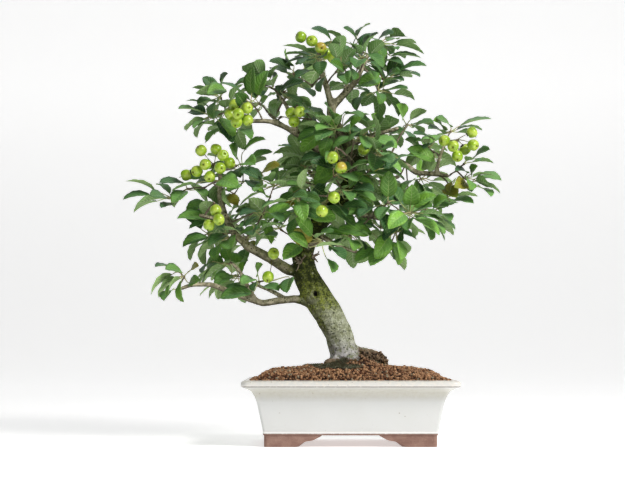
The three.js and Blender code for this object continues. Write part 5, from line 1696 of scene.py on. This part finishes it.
def add_granules(parts, low, high, draw):
    """Granules all over the soil, with a few spilled on the rim: how many were set."""
    made = 0
    for x, y in grid_places(low, high, SPACING):
        x, y = x + draw.normal(0, SHAKE), y + draw.normal(0, SHAKE)
        found = on_soil(x, y)
        radius = draw.uniform(*GRANULE_RADII) * (1 if draw.random() > SMALL_SHARE else SMALL_SIZE)
        tint, kind = draw.beta(1.3, 1.6), draw.random()
        if found is None or inside_wood(found[0], ROOT_CLEARANCE):
            continue
        if from_wall(x, y) < 0 and draw.random() > SPILL_SHARE * (1 + from_wall(x, y) / SPILL_WIDTH):
            continue
        place = found[0] + found[1] * (radius * draw.uniform(-0.5, 0.35) - 0.3)
        green = mossy(found[0])
        if green > MOSSY_PLACE and draw.random() < CRUMBLED_SHARE:
            radius *= CRUMBLED_SIZE
        old = max(green, OLD_ON_HEAP * heap(x, y) / HEAP_HEIGHT)
        add_granule(parts, place, radius, (tint, kind, old), draw)
        made += 1
    return made


def add_tufts(parts, low, high, draw):
    """Tufts where the ground is mossy: how many were set."""
    made = 0
    for x, y in grid_places(low, high, TUFT_SPACING):
        x, y = x + draw.normal(0, TUFT_SHAKE), y + draw.normal(0, TUFT_SHAKE)
        found = on_soil(x, y)
        if found is None or draw.random() > mossy(found[0]) or inside_wood(found[0], 0):
            continue
        add_tuft(parts, found[0] + [0, 0, TUFT_FOOT], found[1], TUFT_HEIGHT, draw)
        made += 1
    return made


def make_soil():
    draw = np.random.default_rng(SOIL_SEED)
    parts = Parts()
    # The body under the granules carries the painted shade of the gaps.
    parts.add(*gap_shade_surface(), GAP_SHADE)
    low, high = soil_points.min(0) - SPILL_WIDTH, soil_points.max(0) + SPILL_WIDTH
    print("granules:", add_granules(parts, low, high, draw))
    print("crumbs on the old roots:", add_crumbs(parts, draw))
    print("tufts of moss:", add_tufts(parts, low, high, draw))
    return parts.piece("soil_granules", SOIL_LOOKS, ["soil"], "granules")


make_soil()

# %% [markdown]
# The pot is stoneware in one firing: a flared rectangular body under a creamy white glaze, with a rolled
# rim, a hollow cove below it and a narrow moulding at its base. The feet and the underside are left bare,
# where the clay is pinkish brown. The body is swept as rings round one profile with softened corners.

# %% Pot finishes
LINES = ((0.1008, 0.00045, 1.0), (0.0264, 0.0003, 0.3), (0.0217, 0.0005, 0.9))
RIM_FROM = (0.1, 0.103)
MOULDING_UP_TO = (0.0262, 0.0268)


def glaze():
    look = Finish("glaze")
    painted_shade, worn, outside = look.marks()
    cloud, small = look.noise(0.05), look.noise(0.006)
    height = look.height()
    rim = height.ramp(*RIM_FROM)
    lines = [(abs(height - level).ramp(half, half * 2, strength, 0) * small.ramp(0.3, 0.5, 0.5, 1) * outside,
              (96, 74, 58)) for level, half, strength in LINES]
    cream = coats((214, 215, 213),
                  (cloud.ramp(0.3, 0.7), (216, 217, 216)),
                  # Painted shade: the cove under the rim is greyer and darker, and the inside walls a
                  # little.
                  (painted_shade * small.ramp(0.25, 0.6, 1, 0.72), (188, 184, 169)),
                  (worn * small.ramp(0.38, 0.56) * 0.75, (142, 116, 92)),
                  (rim * small.ramp(0.3, 0.6, 0.9, 0.35), (236, 230, 220)),
                  (height.ramp(*MOULDING_UP_TO, 0.8, 0), (240, 239, 236)),
                  (look.specks(0.0035, 0.22, 0.2) * rim * 0.8, (116, 92, 70)),
                  (look.specks(0.011, 0.1, 0.3) * 0.6, (120, 96, 70)),
                  (look.specks(0.004, 0.16, 0.12) * 0.3, (168, 154, 130)),
                  *lines)
    return look.done(cream, small.ramp(0.3, 0.7, 0.28, 0.34), small, 0.00008, 0.3,
                     {"Coat Weight": 0.3, "Coat Roughness": 0.1})


def bare_clay():
    look = Finish("bare_clay")
    cloud, sand = look.noise(0.02), look.noise(0.0012)
    clay = coats((135, 102, 90),
                 (cloud.ramp(0.3, 0.7), (161, 129, 115)),
                 (sand.ramp(0.38, 0.55, 0.4, 0), (112, 80, 68)),
                 (look.specks(0.003, 0.3, 0.2) * 0.5, (196, 170, 150)))
    return look.done(clay, 0.85, sand, 0.0005)


POT_LOOKS = [glaze(), bare_clay()]
GLAZE, CLAY = range(2)
print("finishes of the pot:", [look.name for look in POT_LOOKS])

# %% The pot's sizes
POT_LENGTH = (pot_high.x - pot_low.x) / MM
POT_DEPTH = (pot_high.y - pot_low.y) / MM
POT_HEIGHT = pot_high.z / MM
FOOT_HEIGHT = 19.5
BASE_INSET = 35.5
BASE_EDGE = BASE_INSET + 1.2
WALL = 10
FLOOR_TOP = 28.5
CORNER_RADIUS = 13
LEAST_CORNER = 5
OUTSIDE = [(BASE_EDGE, FOOT_HEIGHT), (BASE_INSET, 22), (BASE_INSET, 28), (26.5, 72), (22.5, 84),
           (17, 93), (8, 97.5), (2, 99.5), (0, 102), (0, 106), (1.6, 109.4), (5, POT_HEIGHT)]
INSIDE = [(17, POT_HEIGHT), (21, 102), (30, 80), (BASE_INSET + WALL, FLOOR_TOP)]
SOFTENING = 2.2
SOFT_STEPS = 5
BARE_BELOW = 21.4
GLAZED_DOWN_TO = 96
CORNER_STEPS = 10
STRAIGHT_STEPS = (26, 18)
CORNERS = np.array([(1, 1), (-1, 1), (-1, -1), (1, -1)])


def softened(profile, most):
    """A profile with each of its inner corners rounded by a short curve."""
    profile = [np.array(p, float) for p in profile]
    out = [profile[0]]
    for before, here, after in zip(profile, profile[1:], profile[2:]):
        reach = min(most, np.linalg.norm(here - before) * 0.45, np.linalg.norm(after - here) * 0.45)
        a, b = here + unit(before - here) * reach, here + unit(after - here) * reach
        out += [(1 - t) ** 2 * a + 2 * t * (1 - t) * here + t * t * b for t in np.linspace(0, 1, SOFT_STEPS)]
    return out + [profile[-1]]


def pot_ring(inset):
    """A rectangle with round corners, seen from above, with the same count of points for any inset."""
    half = np.array([POT_LENGTH / 2 - inset, POT_DEPTH / 2 - inset])
    radius = max(CORNER_RADIUS - inset * 0.25, LEAST_CORNER)
    ring = []
    for quarter, steps in enumerate(STRAIGHT_STEPS * 2):
        here, following = (CORNERS[(quarter + k) % 4] * (half - radius) for k in (0, 1))
        angles = [(quarter + k / CORNER_STEPS) * math.pi / 2 for k in range(CORNER_STEPS + 1)]
        arc = [radius * np.array([math.cos(angle), math.sin(angle)]) for angle in angles]
        ring += [here + place for place in arc]
        start, end = here + arc[-1], following + arc[-1]
        ring += [start + (end - start) * k / steps for k in range(1, steps)]
    return np.array(ring)


# %% The pot's body
COVE_SHADE = [(77, 0.0), (83, 0.6), (88, 1.0), (94, 0.85), (98.5, 0.6), (100, 0.0)]
WEAR_LINES = ((22.2, 0.8), (110.6, 0.8))
UNEVEN = 0.45
UNEVEN_SIZE = 45
SHADE_INSIDE = 0.2


def ring_points(inset, height):
    ring = pot_ring(inset)
    return np.column_stack([ring, np.full(len(ring), height)]) + POT_MIDDLE


def glaze_marks(height, count, outer):
    """Where shade is painted, in the cove and a little on the inside, where the glaze is thin and worn, and
    whether this is the outside.
    """
    heights, shades = zip(*COVE_SHADE)
    painted_shade = float(np.interp(height, heights, shades)) if outer else SHADE_INSIDE
    worn = max(swell(height, *line) for line in WEAR_LINES) if outer else 0.0
    return np.tile((painted_shade, worn, float(outer)), (count, 1))


def add_rings(parts, profile, outer):
    rings = [ring_points(inset, height) for inset, height in profile]
    count = len(rings[0])
    points = np.concatenate(rings)
    if outer:
        away = unit((points - POT_MIDDLE) * [1, 1, 0])
        points = points - away * UNEVEN * (0.5 + 0.5 * bumps(points, UNEVEN_SIZE, 11))[:, None]
    marks = np.concatenate([glaze_marks(height, count, outer) for _, height in profile])
    finishes = []
    for (_, below), (_, above) in zip(profile, profile[1:]):
        height = (below + above) / 2
        bare = height < BARE_BELOW or (not outer and height < GLAZED_DOWN_TO)
        finishes += [CLAY if bare else GLAZE] * count
    parts.add(points, band_faces(len(rings), count), finishes, marks)


# %% The floor, with its drainage holes
DRAIN_OFFSET = 74
DRAIN_RADIUS = 12
HOLE_STEPS = 32
INSIDE_HOLE = DRAIN_RADIUS * 0.99
MERGED_WITHIN = 1e-5


def hole(side):
    """The edge of a drainage hole, seen from above."""
    angles = turns(HOLE_STEPS)
    return DRAIN_RADIUS * np.column_stack([np.cos(angles), np.sin(angles)]) + [side * DRAIN_OFFSET, 0]


def floor_plate(inset, height, facing_up):
    """A plate with two round holes, filled with triangles between its outline and the holes."""
    points, edges = [], []
    for loop in (pot_ring(inset), hole(-1), hole(1)):
        start = len(points)
        points += [Vector(p) for p in loop]
        edges += [(start + k, start + (k + 1) % len(loop)) for k in range(len(loop))]
    flat, _, faces, *_ = geometry.delaunay_2d_cdt(points, edges, [], 0, MERGED_WITHIN)
    flat = np.array(flat)
    kept = []
    for a, b, c in faces:
        middle = flat[[a, b, c]].mean(0)
        if min(np.linalg.norm(middle - [side * DRAIN_OFFSET, 0]) for side in (-1, 1)) < INSIDE_HOLE:
            continue
        up = np.cross(flat[b] - flat[a], flat[c] - flat[a]) > 0
        kept.append((a, b, c) if up == facing_up else (a, c, b))
    return np.column_stack([flat, np.full(len(flat), height)]) + POT_MIDDLE, kept


def add_drain_walls(parts):
    for side in (-1, 1):
        rings = [np.column_stack([hole(side), np.full(HOLE_STEPS, z)]) + POT_MIDDLE
                 for z in (FOOT_HEIGHT, FLOOR_TOP)]
        parts.add(np.concatenate(rings), [face[::-1] for face in band_faces(2, HOLE_STEPS)], CLAY)


# %% The bracket feet
FOOT_INSET = 2.5
FOOT_THICKNESS = 15
FOOT_REACH = (96, 66)
FOOT_FLAT_SHARE = 0.54
FOOT_OGEE = [(0, 0), (0.28, 0.42), (0.68, 0.56), (1, 0.94)]
FOOT_STATIONS = 44
FOOT_BEVEL = 1.1
FOOT_SINK = 0.6
FOOT_CORNERS = (6, 0.8)
SHARP_FROM = 40


def foot_underside(share):
    """The height of a foot's lower edge, as a share of the foot, that share of the way along one arm."""
    run = max(0.0, (share - FOOT_FLAT_SHARE) / (1 - FOOT_FLAT_SHARE))
    runs, heights = zip(*FOOT_OGEE)
    smooth = [np.interp(run + shift, runs, heights) for shift in (-0.06, -0.03, 0, 0.03, 0.06)]
    return float(np.mean(smooth)) if run > 0 else 0.0


def foot_corner(sign, inset, share, arm):
    """A place on a foot's wall: on the arm along X or along Y, that share of the way from corner to tip."""
    corner = np.array([POT_LENGTH / 2, POT_DEPTH / 2]) - inset
    reach = FOOT_REACH[arm] - (inset - BASE_INSET - FOOT_INSET)
    radius = FOOT_CORNERS[0] if inset < BASE_INSET + FOOT_THICKNESS / 2 else FOOT_CORNERS[1]
    distance = share * reach
    place = corner.copy()
    if distance < radius:
        angle = math.pi / 4 * (1 - distance / radius)
        along, other = radius * (1 - math.sin(angle)), radius * (1 - math.cos(angle))
        place[arm] -= along
        place[1 - arm] -= other
    else:
        place[arm] -= distance
    return sign * place


def foot_shares():
    """Places along one arm, closer together round the corner and along the curved edge."""
    near = np.array([0, 0.012, 0.025, 0.04, 0.06, 0.09])
    return np.concatenate([near, np.linspace(0.14, FOOT_FLAT_SHARE, 6),
                           np.linspace(FOOT_FLAT_SHARE + 0.02, 1, FOOT_STATIONS // 2)])


def foot_section(sign, share, arm):
    """The points round a foot's wall there: down its outside, under it and up its inside."""
    outer_inset = BASE_INSET + FOOT_INSET
    under, top = foot_underside(share) * FOOT_HEIGHT, FOOT_HEIGHT + FOOT_SINK
    outside = foot_corner(sign, outer_inset, share, arm)
    within = foot_corner(sign, outer_inset + FOOT_THICKNESS, share, arm)
    inward = unit(within - outside) * FOOT_BEVEL
    return [(*outside, top), (*outside, under + FOOT_BEVEL), (*(outside + inward * 0.3), under + 0.3),
            (*(outside + inward), under), (*(within - inward), under),
            (*within, under + FOOT_BEVEL), (*within, top)]


def add_foot(parts, sign):
    """A bracket foot: one arm along X and one along Y, from the tip of one to the tip of the other."""
    shares = foot_shares()
    stations = [(share, 0) for share in shares[::-1]] + [(share, 1) for share in shares[1:]]
    rings = [foot_section(sign, share, arm) for share, arm in stations]
    points, count = np.array(rings).reshape(-1, 3), len(rings[0])
    faces = band_faces(len(rings), count)
    faces.append(tuple(range(count))[::-1])
    faces.append(tuple(len(points) - count + k for k in range(count)))
    if sign[0] * sign[1] < 0:
        faces = [face[::-1] for face in faces]
    parts.add(points + POT_MIDDLE, faces, CLAY)


def make_pot():
    parts = Parts()
    add_rings(parts, softened(OUTSIDE + INSIDE[:1], SOFTENING), True)
    add_rings(parts, softened(INSIDE, SOFTENING), False)
    parts.add(*floor_plate(BASE_EDGE, FOOT_HEIGHT, False), CLAY)
    parts.add(*floor_plate(BASE_INSET + WALL, FLOOR_TOP, True), CLAY)
    add_drain_walls(parts)
    for sign in itertools.product((-1, 1), (-1, 1)):
        add_foot(parts, np.array(sign))
    return parts.piece("pot_glazed", POT_LOOKS, ["pot"], "glaze", SHARP_FROM)


pot = make_pot()
print("pot faces:", len(pot.data.polygons))

# %% [markdown]
# Squares of black plastic netting lie over the drainage holes to keep the soil in. Their solids have the
# right shape already, so they stay and only get a finish: dull moulded plastic with soil dust on it.

# %% Netting over the drainage holes
def netting():
    look = Finish("netting")
    dust, cloud = look.patches(0.004, 0.15, 0.4)
    black = coats((34, 38, 40), (dust * 0.6, (112, 80, 58)))
    return look.done(black, cloud.ramp(0.3, 0.7, 0.45, 0.9), look.noise(0.0008), 0.0002)


NETTING = netting()
for node_name in ("drain_mesh_left", "drain_mesh_right"):
    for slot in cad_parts[node_name].material_slots:
        slot.material = NETTING
print("netting finished on both drainage holes")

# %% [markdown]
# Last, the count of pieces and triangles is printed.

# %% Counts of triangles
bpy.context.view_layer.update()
triangles = {p.name: sum(len(f.vertices) - 2 for f in p.data.polygons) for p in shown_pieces()}
print("pieces:", len(triangles), "triangles:", sum(triangles.values()))
print("most triangles in one piece:", max(triangles.values()))
